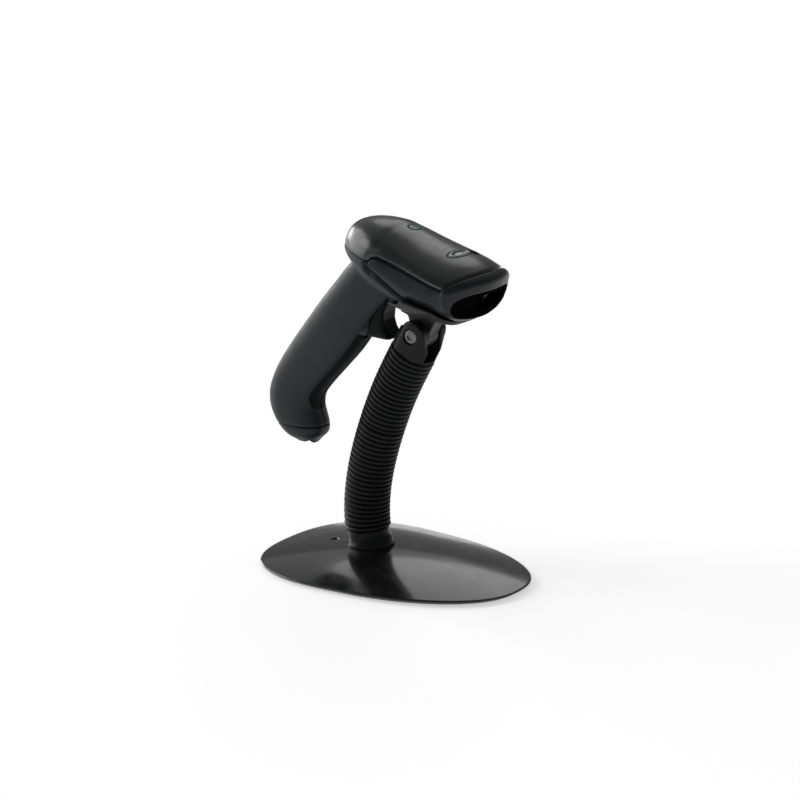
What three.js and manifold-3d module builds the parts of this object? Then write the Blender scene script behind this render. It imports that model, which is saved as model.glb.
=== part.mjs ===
// Handheld barcode scanner in a gooseneck presentation stand.
// Millimetres, +Z up. +X is the way the scanner points, +Y its left. Origin on the table under the middle of the base.
import * as THREE from "three";
import { mergeVertices } from "three/addons/utils/BufferGeometryUtils.js";
import Module from "manifold-3d";

const wasm = await Module();
wasm.setup();

// ---------------------------------------------------------------- driving dimensions
const GAP = 0.3; // face to face clearance between touching pieces
const PITCH = THREE.MathUtils.degToRad(11); // the head's nose-down angle in the cradle
const HEAD_Z = 203; // height of the head's seam line above the table at X = 0
const WALL = 2.2; // moulded wall thickness

// head stations: u along the head, half width, height above the seam, depth below it, top and bottom section exponents
const HEAD = [
  [-37.6, 0.6, 0.4, 0.4, 2.2, 2.2],
  [-36.2, 8.4, 8.4, 4.2, 2.2, 2.2],
  [-32.6, 15.2, 14.2, 7.2, 2.2, 2.2],
  [-25.0, 22.2, 18.8, 10.6, 2.2, 2.2],
  [-14.0, 27.8, 20.8, 14.6, 2.2, 2.5],
  [0.0, 30.8, 20.0, 19.4, 2.2, 3.4],
  [20.0, 32.4, 17.0, 21.2, 2.2, 4.0],
  [40.0, 33.8, 14.8, 21.6, 2.15, 3.6],
  [54.0, 34.6, 12.8, 21.6, 2.1, 3.0],
  [64.0, 34.8, 9.8, 21.0, 2.0, 2.7],
  [76.0, 34.4, 5.0, 20.0, 2.0, 2.6],
];
const SPLIT_U = 62.4; // where the covers end and the nose bezel begins, at mid width
const SPLIT_BOW = 9.4; // how far that line runs back at the corners
const NOSE_U = 69.6; // front of the nose bezel at mid width
const BOW = 11.2; // how far the front corners sit behind the middle
// side arm of the nose bezel, seen from the side: upper edge a little above the seam, lower edge falling to the chin
const ARM = [
  [-4.2, -1.6],
  [-3.2, 1.4],
  [-1.2, 3.4],
  [3.0, 4.1],
  [13.0, 3.6],
  [23.3, 2.9],
  [34.6, 1.8],
  [44.7, 0.9],
  [53.0, 0.4],
  [75.0, 0.3],
  [75.0, -21.5],
  [49.0, -19.6],
  [40.0, -17.4],
  [33.0, -15.6],
  [24.0, -13.0],
  [19.0, -11.2],
  [12.7, -9.0],
  [6.4, -6.6],
  [-0.7, -4.2],
  [-3.4, -3.2],
];
const ARM_GAP = ARM.map(([u, w], i) => [u + (u < 0 ? -0.4 : 0), w + (i > 9 || i === 0 ? -0.4 : 0.4)]);

// grip stations: back point and front point of each section in X and Z, and its half width
const GRIP = [
  [-27, 203, 9, 190, 14.5],
  [-37.3, 192.8, -1, 176, 15.4],
  [-46.0, 182.4, -12, 163, 15.8],
  [-56.0, 170.8, -22.5, 149.5, 15.8],
  [-66.4, 157.7, -32, 137, 15.6],
  [-77.2, 143.8, -43.5, 124.5, 15.2],
  [-88.0, 129.0, -54.0, 113.2, 14.8],
  [-95.8, 116.4, -60.6, 104.8, 14.6],
  [-99.8, 104.2, -62.2, 97.6, 14.5],
  [-98.8, 93.2, -60.4, 90.8, 14.4],
  [-93.4, 83.8, -58.6, 84.6, 13.8],
  [-86.0, 77.4, -59.4, 79.2, 12.2],
  [-79.0, 74.2, -63.4, 75.0, 8.6],
];
const BUTT_Z = 84.5; // parting plane of the butt cap

// gooseneck centreline in X and Z, from the base collar to the hinge cap
const NECK_R = 14.9;
const NECK = [
  [-22.6, 12.0],
  [-24.9, 22.0],
  [-25.9, 34.0],
  [-24.8, 50.0],
  [-21.8, 66.0],
  [-17.0, 83.0],
  [-11.0, 100.0],
  [-3.8, 117.0],
  [3.8, 132.0],
  [9.6, 142.6],
];
const LINKS = 7;
const LINK_GAP = 2.2;
const CORE_R = 8.6;
const PIVOT = [16.6, 156.4]; // cradle hinge axis in X and Z
const EAR_R = 9.6;

// base: an egg-shaped plate, broad at the back
const BASE_A = 89.6;
const BASE_B = 63.6;
const BASE_EGG = -0.21;
const BASE_N = 2.45;
const BASE_RIM = 3.4;
const BASE_DOME = 9.2;

// ---------------------------------------------------------------- geometry helpers
function table(rows, x) {
  // cubic through the rows' values with finite-difference tangents
  const n = rows.length;
  let i = 0;
  while (i < n - 2 && x > rows[i + 1][0]) i++;
  const tangent = (k, j) => {
    if (k === 0) return (rows[1][j] - rows[0][j]) / (rows[1][0] - rows[0][0]);
    if (k === n - 1)
      return (rows[n - 1][j] - rows[n - 2][j]) / (rows[n - 1][0] - rows[n - 2][0]);
    return (rows[k + 1][j] - rows[k - 1][j]) / (rows[k + 1][0] - rows[k - 1][0]);
  };
  const [a, b] = [rows[i], rows[i + 1]];
  const h = b[0] - a[0];
  const t = Math.min(1, Math.max(0, (x - a[0]) / h));
  const [t2, t3] = [t * t, t * t * t];
  return a.map((_, j) =>
    j === 0
      ? x
      : (2 * t3 - 3 * t2 + 1) * a[j] +
        (t3 - 2 * t2 + t) * h * tangent(i, j) +
        (-2 * t3 + 3 * t2) * b[j] +
        (t3 - t2) * h * tangent(i + 1, j),
  );
}

const spow = (c, e) => Math.sign(c) * Math.abs(c) ** e;
const smooth = (t) => {
  const k = Math.min(1, Math.max(0, t));
  return k * k * (3 - 2 * k);
};
const headToRow = (u, v, w) => [
  u * Math.cos(PITCH) + w * Math.sin(PITCH),
  v,
  HEAD_Z - u * Math.sin(PITCH) + w * Math.cos(PITCH),
];

// a ring of the head's skin at station u, moved inwards by inset
function headRing(u, inset = 0, count = 22) {
  const [, b, ht, hb, nt, nb] = table(HEAD, u);
  const ring = [];
  for (let k = 0; k < count; k++) {
    const t = (2 * Math.PI * k) / count;
    const [c, s] = [Math.cos(t), Math.sin(t)];
    const e = 2 / (s >= 0 ? nt : nb);
    const v = Math.max(0.3, b - inset) * spow(c, e);
    const w = Math.max(0.2, (s >= 0 ? ht : hb) - inset) * spow(s, e);
    const bow = BOW * smooth((u - 8) / 50) * (v / 35) ** 2;
    ring.push(headToRow(u - bow, v, w));
  }
  return ring;
}

// skins the rings, in order, with a fan at each end, or as a closed loop
function loft(rings, loop = false) {
  const n = rings[0].length;
  const pos = rings.flat(2);
  const idx = [];
  const m = rings.length;
  for (let i = 0; i < (loop ? m : m - 1); i++) {
    const [p, q] = [i * n, ((i + 1) % m) * n];
    for (let k = 0; k < n; k++) {
      const l = (k + 1) % n;
      idx.push(p + k, p + l, q + l, p + k, q + l, q + k);
    }
  }
  if (!loop) {
    for (const [ring, start, flip] of [
      [rings[0], 0, true],
      [rings[m - 1], (m - 1) * n, false],
    ]) {
      const c = [0, 1, 2].map((j) => ring.reduce((a, p) => a + p[j], 0) / n);
      const ci = pos.length / 3;
      pos.push(...c);
      for (let k = 0; k < n; k++) {
        const l = (k + 1) % n;
        if (flip) idx.push(ci, start + l, start + k);
        else idx.push(ci, start + k, start + l);
      }
    }
  }
  const g = new THREE.BufferGeometry();
  g.setAttribute("position", new THREE.Float32BufferAttribute(pos, 3));
  g.setIndex(idx);
  return g;
}

function solid(geometry) {
  const g = geometry.clone();
  g.deleteAttribute("normal");
  g.deleteAttribute("uv");
  const merged = mergeVertices(g, 1e-4);
  const tri = new Uint32Array(merged.index.array);
  const make = () =>
    new wasm.Manifold(
      new wasm.Mesh({
        numProp: 3,
        vertProperties: new Float32Array(merged.attributes.position.array),
        triVerts: tri,
      }),
    );
  let s = make();
  if (s.volume() < 0) {
    for (let i = 0; i < tri.length; i += 3) [tri[i + 1], tri[i + 2]] = [tri[i + 2], tri[i + 1]];
    s = make();
  }
  return s;
}

function geometryOf(manifold) {
  const m = manifold.getMesh();
  const g = new THREE.BufferGeometry();
  const p = new Float32Array(m.numVert * 3);
  for (let i = 0; i < m.numVert; i++)
    p.set(m.vertProperties.subarray(i * m.numProp, i * m.numProp + 3), i * 3);
  g.setAttribute("position", new THREE.BufferAttribute(p, 3));
  g.setIndex(new THREE.BufferAttribute(new Uint32Array(m.triVerts), 1));
  g.computeVertexNormals();
  return g;
}

const biggest = (manifold) =>
  manifold.decompose().sort((a, b) => b.volume() - a.volume())[0];

// a box by its two corners in row axes, or turned with the head when local is true
function box(x0, x1, y0, y1, z0, z1, local = false) {
  const g = new THREE.BoxGeometry(x1 - x0, y1 - y0, z1 - z0);
  g.translate((x0 + x1) / 2, (y0 + y1) / 2, (z0 + z1) / 2);
  if (local) toHead(g);
  return solid(g);
}
function toHead(g) {
  g.rotateY(PITCH);
  g.translate(0, 0, HEAD_Z);
  return g;
}
// a side profile in X and Z, extruded between y0 and y1
function profileXZ(points, y0, y1) {
  const shape = new THREE.Shape(points.map(([x, z]) => new THREE.Vector2(x, z)));
  const g = new THREE.ExtrudeGeometry(shape, { depth: y1 - y0, bevelEnabled: false });
  g.rotateX(Math.PI / 2);
  g.translate(0, y1, 0);
  return g;
}
// a cylinder between two points
function rod(a, b, r, sides = 20) {
  const [p, q] = [new THREE.Vector3(...a), new THREE.Vector3(...b)];
  const d = q.clone().sub(p);
  const g = new THREE.CylinderGeometry(r, r, d.length(), sides);
  g.applyQuaternion(
    new THREE.Quaternion().setFromUnitVectors(new THREE.Vector3(0, 1, 0), d.clone().normalize()),
  );
  g.translate(...p.add(q).multiplyScalar(0.5).toArray());
  return g;
}
// a screw: head, shank and hexagon recess, its axis from the head's face to the tip
function screw(face, tip, headR, headH, shankR, keyR) {
  const f = new THREE.Vector3(...face);
  const t = new THREE.Vector3(...tip);
  const d = t.clone().sub(f).normalize();
  const at = (s) => f.clone().add(d.clone().multiplyScalar(s)).toArray();
  const L = t.distanceTo(f);
  let s = solid(rod(at(0), at(headH), headR, 12)).add(solid(rod(at(headH - 0.4), at(L), shankR, 8)));
  s = s.subtract(solid(rod(at(-1), at(headH * 0.55), keyR, 6)));
  return s;
}

// ---------------------------------------------------------------- colours
const black = (hex, rough, metal = 0) =>
  new THREE.MeshStandardMaterial({ color: hex, roughness: rough, metalness: metal });
const M = {
  shell: black(0x2b2f33, 0.42),
  bezel: black(0x15181a, 0.5),
  gloss: black(0x0c0e10, 0.18),
  rubber: black(0x101112, 0.85),
  steel: black(0x9a9c9e, 0.35, 1),
  iron: black(0x4a4b4d, 0.7, 0.9),
  window: black(0x120407, 0.08),
  teal: black(0x1c6f84, 0.4),
  lens: black(0xb9bfc2, 0.2),
  board: black(0x1e5a35, 0.6),
  mirror: black(0xe8ecee, 0.05, 1),
  dark: black(0x0b0b0c, 0.6),
  brass: black(0xb08a45, 0.35, 1),
};

const root = new THREE.Group();
root.name = "scanner_on_stand";
const sub = {};
for (const g of ["stand_base", "neck", "neck_head", "cradle", "scanner", "trigger", "mirror"]) {
  sub[g] = new THREE.Group();
  root.add(sub[g]);
}
function put(group, name, shape, material) {
  const mesh = new THREE.Mesh(shape.isBufferGeometry ? shape : geometryOf(shape), material);
  mesh.name = name;
  sub[group].add(mesh);
  return mesh;
}

// ---------------------------------------------------------------- base
function baseRing(scale, inset, z, count = 32) {
  const ring = [];
  for (let k = 0; k < count; k++) {
    const t = (2 * Math.PI * k) / count;
    const [c, s] = [Math.cos(t), Math.sin(t)];
    const e = 2 / BASE_N;
    const x = (BASE_A - inset) * scale * spow(c, e);
    const y = (BASE_B - inset) * scale * (1 + BASE_EGG * c) * spow(s, e);
    ring.push([x, y, z]);
  }
  return ring;
}
const domeZ = (rho) => BASE_RIM + BASE_DOME * (1 - rho * rho) ** 1.05;
const POSTS = [
  [-56, 32],
  [-56, -32],
  [50, 20],
  [50, -20],
];
const hole = (s, x, y, r, z0 = -1, z1 = 12) => s.subtract(solid(rod([x, y, z0], [x, y, z1], r, 12)));
{
  const rhos = [0.98, 0.92, 0.8, 0.62, 0.38, 0.12];
  const outer = solid(
    loft([
      baseRing(1, 1.8, 0.8),
      baseRing(1, 0.3, 1.3),
      baseRing(1, 0, 3.0),
      ...rhos.map((r) => baseRing(r, 0, domeZ(r))),
    ]),
  );
  const inner = loft([
    baseRing(1, 5.0, 0.2),
    baseRing(1, 5.0, 3.4),
    ...[0.85, 0.66, 0.42, 0.14].map((r) => baseRing(r, 0, domeZ(r) - 2.2)),
  ]);
  const [cx] = NECK[0];
  let cover = outer.subtract(solid(inner));
  for (const [x, y] of POSTS) {
    cover = cover.add(solid(rod([x, y, 3.3], [x, y, 12], 4.2, 12)).intersect(outer));
    cover = cover.subtract(solid(rod([x, y, 0], [x, y, 5.9], 1.5, 10)));
  }
  // seat for the gooseneck's threaded stub, and a keyhole cable guide behind it
  cover = cover.subtract(solid(rod([cx, 0, 0], [cx, 0, 30], 9.2, 28)));
  cover = cover.subtract(solid(rod([-52, 0, 5], [-52, 0, 30], 2.6, 16)));
  cover = cover.subtract(box(-52, -41, -0.9, 0.9, 8.9, 30));
  put("stand_base", "base_cover", biggest(cover), M.gloss);

  let plate = solid(loft([baseRing(1, 5.6, 1.2), baseRing(1, 5.6, 3.0)]));
  plate = hole(plate, cx, 0, 13.2);
  for (const [x, y] of POSTS) plate = hole(plate, x, y, 1.7);
  put("stand_base", "base_bottom_plate", plate, M.dark);

  let weight = solid(
    loft([baseRing(0.76, 0, 3.3), baseRing(0.76, 0, 4.3), baseRing(0.6, 0, 6.2), baseRing(0.42, 0, 7.8)]),
  );
  weight = hole(weight, cx, 0, 15.2);
  for (const [x, y] of POSTS) weight = hole(weight, x, y, 5.2);
  put("stand_base", "base_weight", biggest(weight), M.iron);

  let pad = solid(loft([baseRing(0.9, 0, 0), baseRing(0.9, 0, 0.9)]));
  pad = hole(pad, cx, 0, 15);
  for (const [x, y] of POSTS) pad = hole(pad, x, y, 4.2);
  put("stand_base", "rubber_foot_pad", pad, M.rubber);
  POSTS.forEach(([x, y], i) => {
    put("stand_base", `base_screw_${i + 1}`, screw([x, y, 0.15], [x, y, 5.6], 3.2, 0.75, 1.15, 1.2), M.steel);
  });
  // threaded stub of the gooseneck and the nut that clamps it under the cover
  const stub = solid(rod([cx, 0, 3.4], [cx, 0, 19.6], 8.8, 24)).subtract(
    solid(rod([cx, 0, 0], [cx, 0, 40], 6.0, 16)),
  );
  put("stand_base", "neck_stub", stub, M.steel);
  const nut = solid(rod([cx, 0, 3.4], [cx, 0, 8.0], 12.6, 6)).subtract(
    solid(rod([cx, 0, 0], [cx, 0, 20], 9.2, 24)),
  );
  put("stand_base", "neck_nut", nut, M.steel);
}

// ---------------------------------------------------------------- gooseneck
const neckCurve = new THREE.CatmullRomCurve3(
  NECK.map(([x, z]) => new THREE.Vector3(x, 0, z)),
  false,
  "centripetal",
);
neckCurve.arcLengthDivisions = 400;
const NECK_LEN = neckCurve.getLength();
const NECK_START = 11.6; // arc length where the first joint sits, just above the collar
const NECK_STEP = (NECK_LEN - NECK_START) / LINKS;
function neckFrame(s) {
  const t = Math.min(1, Math.max(0, s / NECK_LEN));
  const p = neckCurve.getPointAt(t);
  const d = neckCurve.getTangentAt(t);
  return { p, d, n: new THREE.Vector3(d.z, 0, -d.x) };
}
function neckRing(s, r, shift = 0, count = 24) {
  const { p, d, n } = neckFrame(s);
  const ring = [];
  for (let k = 0; k < count; k++) {
    const a = (2 * Math.PI * k) / count;
    const q = p
      .clone()
      .addScaledVector(d, shift)
      .addScaledVector(n, r * Math.cos(a));
    ring.push([q.x, r * Math.sin(a), q.z]);
  }
  return ring;
}
// collar that the gooseneck stands in, leaning back with it
{
  const [cx] = NECK[0];
  const foot = [];
  for (let k = 0; k < 24; k++) {
    const t = (2 * Math.PI * k) / 24;
    foot.push([cx + 14.6 * Math.cos(t), 14.6 * Math.sin(t), 12.9]);
  }
  const collar = solid(loft([foot, neckRing(3.4, 13.4), neckRing(10.5, 13.1)])).subtract(
    solid(rod([cx, 0, 0], [cx, 0, 40], 9.2, 24)),
  );
  put("stand_base", "neck_collar", collar, M.dark);
}
for (let i = 0; i < LINKS; i++) {
  const [s0, s1] = [NECK_START + i * NECK_STEP, NECK_START + (i + 1) * NECK_STEP];
  const [a, b] = [s0 + LINK_GAP / 2, s1 - LINK_GAP / 2];
  const turned = (profile, n) => solid(loft(profile.map(([s, r]) => neckRing(s, r, 0, n)), true));
  // a length of ribbed sleeve over a length of steel core with its liner ring
  put(
    "neck",
    `neck_sleeve_${i + 1}`,
    turned(
      [
        [a, NECK_R],
        [b, NECK_R],
        [b, 11.4],
        [a, 11.4],
      ],
      20,
    ),
    M.dark,
  );
  put(
    "neck",
    `neck_core_${i + 1}`,
    turned(
      [
        [a, CORE_R],
        [a + 1.4, CORE_R],
        [a + 1.5, 10.9],
        [b - 1.5, 10.9],
        [b - 1.4, CORE_R],
        [b, CORE_R],
        [b, 5.6],
        [a, 5.6],
      ],
      12,
    ),
    M.steel,
  );
}

// ---------------------------------------------------------------- hinge at the top of the neck
const [PX, PZ] = PIVOT;
{
  const { p, d, n } = neckFrame(NECK_LEN);
  const capRing = (s, r, count = 26) => {
    const ring = [];
    for (let k = 0; k < count; k++) {
      const a = (2 * Math.PI * k) / count;
      const q = p.clone().addScaledVector(d, s).addScaledVector(n, r * Math.cos(a));
      ring.push([q.x, r * Math.sin(a), q.z]);
    }
    return ring;
  };
  const drum = solid(loft([capRing(1.1, 13.9), capRing(2.0, 14.5), capRing(30, 14.5)]));
  const ears = solid(rod([PX, -20, PZ], [PX, 20, PZ], EAR_R, 28)).add(
    solid(
      profileXZ(
        [
          [p.x + d.x - n.x * 20, p.z + d.z - n.z * 20],
          [p.x + d.x + n.x * 20, p.z + d.z + n.z * 20],
          [PX + n.x * EAR_R, PZ + n.z * EAR_R],
          [PX - n.x * EAR_R * 1.45, PZ - n.z * EAR_R * 1.45],
        ],
        -20,
        20,
      ),
    ),
  );
  // the drum, cut to the ears' rounded side profile and to flat outer faces
  let fork = drum.intersect(ears).intersect(box(-60, 60, -13.6, 13.6, 100, 200));
  fork = fork.subtract(
    solid(
      profileXZ(
        [
          [p.x + d.x * 3.4 - n.x * 30, p.z + d.z * 3.4 - n.z * 30],
          [p.x + d.x * 3.4 + n.x * 30, p.z + d.z * 3.4 + n.z * 30],
          [p.x + d.x * 60 + n.x * 30, p.z + d.z * 60 + n.z * 30],
          [p.x + d.x * 60 - n.x * 30, p.z + d.z * 60 - n.z * 30],
        ],
        -6.9,
        6.9,
      ),
    ),
  );
  fork = fork.subtract(solid(rod([PX, -20, PZ], [PX, 20, PZ], 2.7, 16)));
  fork = fork.subtract(solid(rod([PX, -20, PZ], [PX, -11.2, PZ], 5.5, 20)));
  fork = fork.subtract(solid(rod([PX, 11.2, PZ], [PX, 20, PZ], 5.0, 6)));
  fork = fork.subtract(solid(loft([capRing(-1, 6.9, 16), capRing(2.5, 6.9, 16)])));
  put("neck_head", "hinge_fork", biggest(fork), M.dark);
  put("neck_head", "neck_ferrule", solid(loft([capRing(0.7, 6.5, 16), capRing(2.2, 6.5, 16)])), M.steel);
  let bolt = solid(rod([PX, -13.4, PZ], [PX, -11.5, PZ], 5.1, 20)).add(
    solid(rod([PX, -11.9, PZ], [PX, 13.3, PZ], 2.35, 14)),
  );
  bolt = bolt.subtract(solid(rod([PX, -16, PZ], [PX, -12.2, PZ], 2.5, 6)));
  put("neck_head", "hinge_bolt", bolt, M.steel);
  put(
    "neck_head",
    "hinge_nut",
    solid(rod([PX, 11.5, PZ], [PX, 13.5, PZ], 4.55, 6)).subtract(
      solid(rod([PX, 10, PZ], [PX, 20, PZ], 2.7, 14)),
    ),
    M.steel,
  );
  for (const [name, y0, y1] of [
    ["hinge_washer_right", -6.6, -5.9],
    ["hinge_washer_left", 5.9, 6.6],
  ])
    put(
      "neck_head",
      name,
      solid(rod([PX, y0, PZ], [PX, y1, PZ], 7.0, 20)).subtract(
        solid(rod([PX, -20, PZ], [PX, 20, PZ], 2.7, 14)),
      ),
      M.brass,
    );
}

// ---------------------------------------------------------------- the scanner's outer and inner volumes
const STATIONS = [-37.6, -36.2, -32.4, -25, -14, 0, 20, 40, 54, 64, 76];
const skin = (inset, upto = 76) => solid(loft(STATIONS.filter((u) => u <= upto).map((u) => headRing(u, inset))));
const headOuter = skin(0);
const headInner = solid(
  loft([-35.0, -32, -25, -14, 0, 20, 40, 54, 68].map((u) => headRing(u, WALL))),
);
function gripRing(i, inset, count = 18) {
  const [bx, bz, fx, fz, hw] = Array.isArray(i) ? i : GRIP[i];
  const c = [(bx + fx) / 2, (bz + fz) / 2];
  const len = Math.hypot(fx - bx, fz - bz);
  const a = [(fx - bx) / len, (fz - bz) / len];
  const ring = [];
  for (let k = 0; k < count; k++) {
    const t = (2 * Math.PI * k) / count;
    const e = 2 / 2.35;
    const p = Math.max(0.5, len / 2 - inset) * spow(Math.cos(t), e);
    const y = Math.max(0.5, hw - inset) * spow(Math.sin(t), e);
    ring.push([c[0] + a[0] * p, y, c[1] + a[1] * p]);
  }
  return ring;
}
const gripOuter = solid(loft(GRIP.map((_, i) => gripRing(i, 0))));
const gripInner = solid(
  loft([...GRIP.slice(0, 11).map((_, i) => gripRing(i, WALL)), gripRing([-84.2, 77.8, -62.4, 79.6, 11], WALL)]),
);
const BIG = 200;
const above = (w) => box(-BIG, BIG, -BIG, BIG, w, BIG, true);
const below = (w) => box(-BIG, BIG, -BIG, BIG, -BIG, w, true);
// a plan outline extruded through the head, its front edge bowed like the nose
function bowed(u0, u1, bow = BOW, half = 60) {
  const pts = [];
  for (let k = 0; k <= 10; k++) {
    const v = -half + (2 * half * k) / 10;
    pts.push(new THREE.Vector2(u1 - bow * (Math.min(Math.abs(v), 40) / 35) ** 2, v));
  }
  pts.push(new THREE.Vector2(u0, half), new THREE.Vector2(u0, -half));
  const g = new THREE.ExtrudeGeometry(new THREE.Shape(pts), { depth: 120, bevelEnabled: false });
  g.translate(0, 0, -60);
  return solid(toHead(g));
}
// a profile in head u and w, extruded across the head
function profileHead(points, v0, v1) {
  return solid(toHead(profileXZ(points, v0, v1)));
}
// a superellipse tube along the head for the throat and the window
function mouth(u0, b0, h0, u1, b1, h1, wc = -10) {
  const ring = (u, b, h) => {
    const r = [];
    for (let k = 0; k < 24; k++) {
      const t = (2 * Math.PI * k) / 24;
      r.push(headToRow(u, b * spow(Math.cos(t), 2 / 3.4), wc + h * spow(Math.sin(t), 2 / 3.4)));
    }
    return r;
  };
  return solid(loft([ring(u0, b0, h0), ring(u1, b1, h1)]));
}
// the chin: below its middle the nose draws back, bowed in plan like the front edge; each row is [u at mid width, w]
const CHIN = [
  [50.0, -23.2],
  [58.5, -20.9],
  [63.0, -19.3],
  [66.0, -16.8],
  [69.0, -12.8],
  [71.5, -6.5],
  [74.0, 4.0],
  [80.0, 40.0],
];
const chinCut = (back) =>
  solid(
    loft(
      CHIN.map(([u1, w]) => {
        const r = [];
        for (let k = 0; k <= 12; k++) {
          const v = -42 + 7 * k;
          r.push(headToRow(u1 - back - BOW * (Math.min(Math.abs(v), 40) / 35) ** 2, v, w));
        }
        r.push(headToRow(-80, 42, w), headToRow(-80, -42, w));
        return r;
      }),
    ),
  );
// the funnel in front of the window, squarer above its middle and rounder below
function flare(rows) {
  return solid(
    loft(
      rows.map(([u, b, wc, up, down, nt, nb]) => {
        const r = [];
        for (let k = 0; k < 28; k++) {
          const t = (2 * Math.PI * k) / 28;
          const [c, s] = [Math.cos(t), Math.sin(t)];
          const e = 2 / (s >= 0 ? nt : nb);
          r.push(headToRow(u, b * spow(c, e), wc + (s >= 0 ? up : down) * spow(s, e)));
        }
        return r;
      }),
    ),
  );
}
function slotPlan(u, v, a, b, w0, w1) {
  const s = new THREE.Shape();
  s.absellipse(u, v, a, b, 0, 2 * Math.PI);
  const g = new THREE.ExtrudeGeometry(s, { depth: w1 - w0, bevelEnabled: false, curveSegments: 10 });
  g.translate(0, 0, w0);
  return solid(toHead(g));
}

// ---------------------------------------------------------------- nose bezel, window and gasket
{
  let bezel = headOuter.intersect(bowed(-80, NOSE_U)).subtract(bowed(-80, SPLIT_U + GAP, SPLIT_BOW));
  bezel = bezel.add(
    mouth(45.0, 31.6, 10.6, 64, 33.4, 11.2).intersect(bowed(-80, SPLIT_U + 2, SPLIT_BOW)).intersect(skin(WALL + 0.35)),
  );
  const layer = skin(0.3).subtract(skin(2.0));
  bezel = bezel.add(layer.intersect(profileHead(ARM, -60, 60)).intersect(bowed(-80, SPLIT_U + 1, SPLIT_BOW)));
  bezel = bezel.intersect(chinCut(0));
  bezel = bezel.subtract(mouth(44.0, 29.4, 8.6, 51, 29.4, 8.6)).subtract(
    flare([
      [50.6, 28.6, -9.6, 7.6, 8.0, 3.4, 3.0],
      [58.0, 30.8, -8.6, 8.6, 9.2, 2.8, 2.5],
      [66.0, 32.4, -7.4, 8.9, 10.6, 2.4, 2.3],
      [73.0, 33.2, -6.6, 8.8, 11.6, 2.25, 2.25],
    ]),
  );
  put("scanner", "nose_bezel", biggest(bezel), M.bezel);
  put(
    "scanner",
    "window_gasket",
    mouth(46.0, 29.1, 8.3, 50.0, 29.1, 8.3).subtract(mouth(45, 27.2, 6.6, 48.6, 27.2, 6.6)).subtract(mouth(48.0, 28.2, 7.5, 60, 28.2, 7.5)),
    M.rubber,
  );
  put("scanner", "scan_window", mouth(48.3, 27.8, 7.2, 49.8, 27.8, 7.2), M.window);
}

// ---------------------------------------------------------------- trigger
const TPIVOT = [-8.6, 180.2];
const TRIG = [
  [-21.4, 150.2],
  [-7.0, 149.6],
  [-4.2, 150.2],
  [-3.4, 152.0],
  [-4.4, 153.8],
  [-7.4, 157.0],
  [-9.2, 161.6],
  [-8.8, 166.6],
  [-6.6, 171.2],
  [-5.2, 175.2],
  [-5.0, 182.6],
  [-8.0, 185.0],
  [-13.0, 184.2],
  [-15.8, 179.0],
  [-16.6, 168.0],
  [-20.4, 157.4],
];
const TRIG_HALF = 8.8;
{
  let trigger = solid(profileXZ(TRIG, -TRIG_HALF, TRIG_HALF));
  trigger = trigger.subtract(solid(rod([TPIVOT[0], -20, TPIVOT[1]], [TPIVOT[0], 20, TPIVOT[1]], 1.5, 12)));
  trigger = trigger.subtract(solid(rod([TPIVOT[0], -3.6, TPIVOT[1]], [TPIVOT[0], 3.6, TPIVOT[1]], 4.6, 16)));
  put("trigger", "trigger", biggest(trigger), M.shell);
  put("scanner", "trigger_pin", rod([TPIVOT[0], -12.6, TPIVOT[1]], [TPIVOT[0], 12.6, TPIVOT[1]], 1.2, 12), M.steel);
  const turns = 3.5;
  const pts = [];
  for (let k = 0; k <= turns * 10; k++) {
    const t = (2 * Math.PI * k) / 10;
    pts.push(
      new THREE.Vector3(TPIVOT[0] + 2.5 * Math.cos(t), -2.4 + (4.8 * k) / (turns * 10), TPIVOT[1] + 2.5 * Math.sin(t)),
    );
  }
  const wire = new THREE.Shape();
  for (let k = 0; k < 6; k++) {
    const a = (Math.PI / 3) * k;
    if (k) wire.lineTo(0.4 * Math.cos(a), 0.4 * Math.sin(a));
    else wire.moveTo(0.4, 0);
  }
  const coil = new THREE.ExtrudeGeometry(wire, {
    steps: turns * 10,
    extrudePath: new THREE.CatmullRomCurve3(pts),
    bevelEnabled: false,
  });
  put("scanner", "trigger_spring", solid(coil), M.steel);
  const sw = box(-33.4, -26.0, -3.2, 3.2, 152.4, 158.8).add(box(-26.4, -25.3, -1.0, 1.0, 155.2, 157.0));
  put("scanner", "trigger_switch", sw, M.dark);
}

// ---------------------------------------------------------------- top cover, indicator lens, inlay
{
  let cover = headOuter
    .subtract(headInner)
    .intersect(above(0.15))
    .intersect(bowed(-80, SPLIT_U, SPLIT_BOW))
    .subtract(profileHead(ARM_GAP, -60, 60));
  cover = cover.subtract(slotPlan(40.5, 5.5, 3.4, 12.4, 8, 32));
  cover = cover.subtract(slotPlan(4.0, 4.5, 2.8, 5.6, 9, 32));
  put("scanner", "top_cover", biggest(cover), M.shell);
  put(
    "scanner",
    "indicator_lens",
    biggest(slotPlan(40.5, 5.5, 3.4 - GAP, 12.4 - GAP, 8, 30).intersect(skin(-0.5)).subtract(skin(1.6))),
    M.lens,
  );
  put(
    "scanner",
    "badge_inlay",
    biggest(slotPlan(4.0, 4.5, 2.8 - GAP, 5.6 - GAP, 9, 30).intersect(skin(-0.15)).subtract(skin(1.5))),
    M.teal,
  );
}

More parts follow.
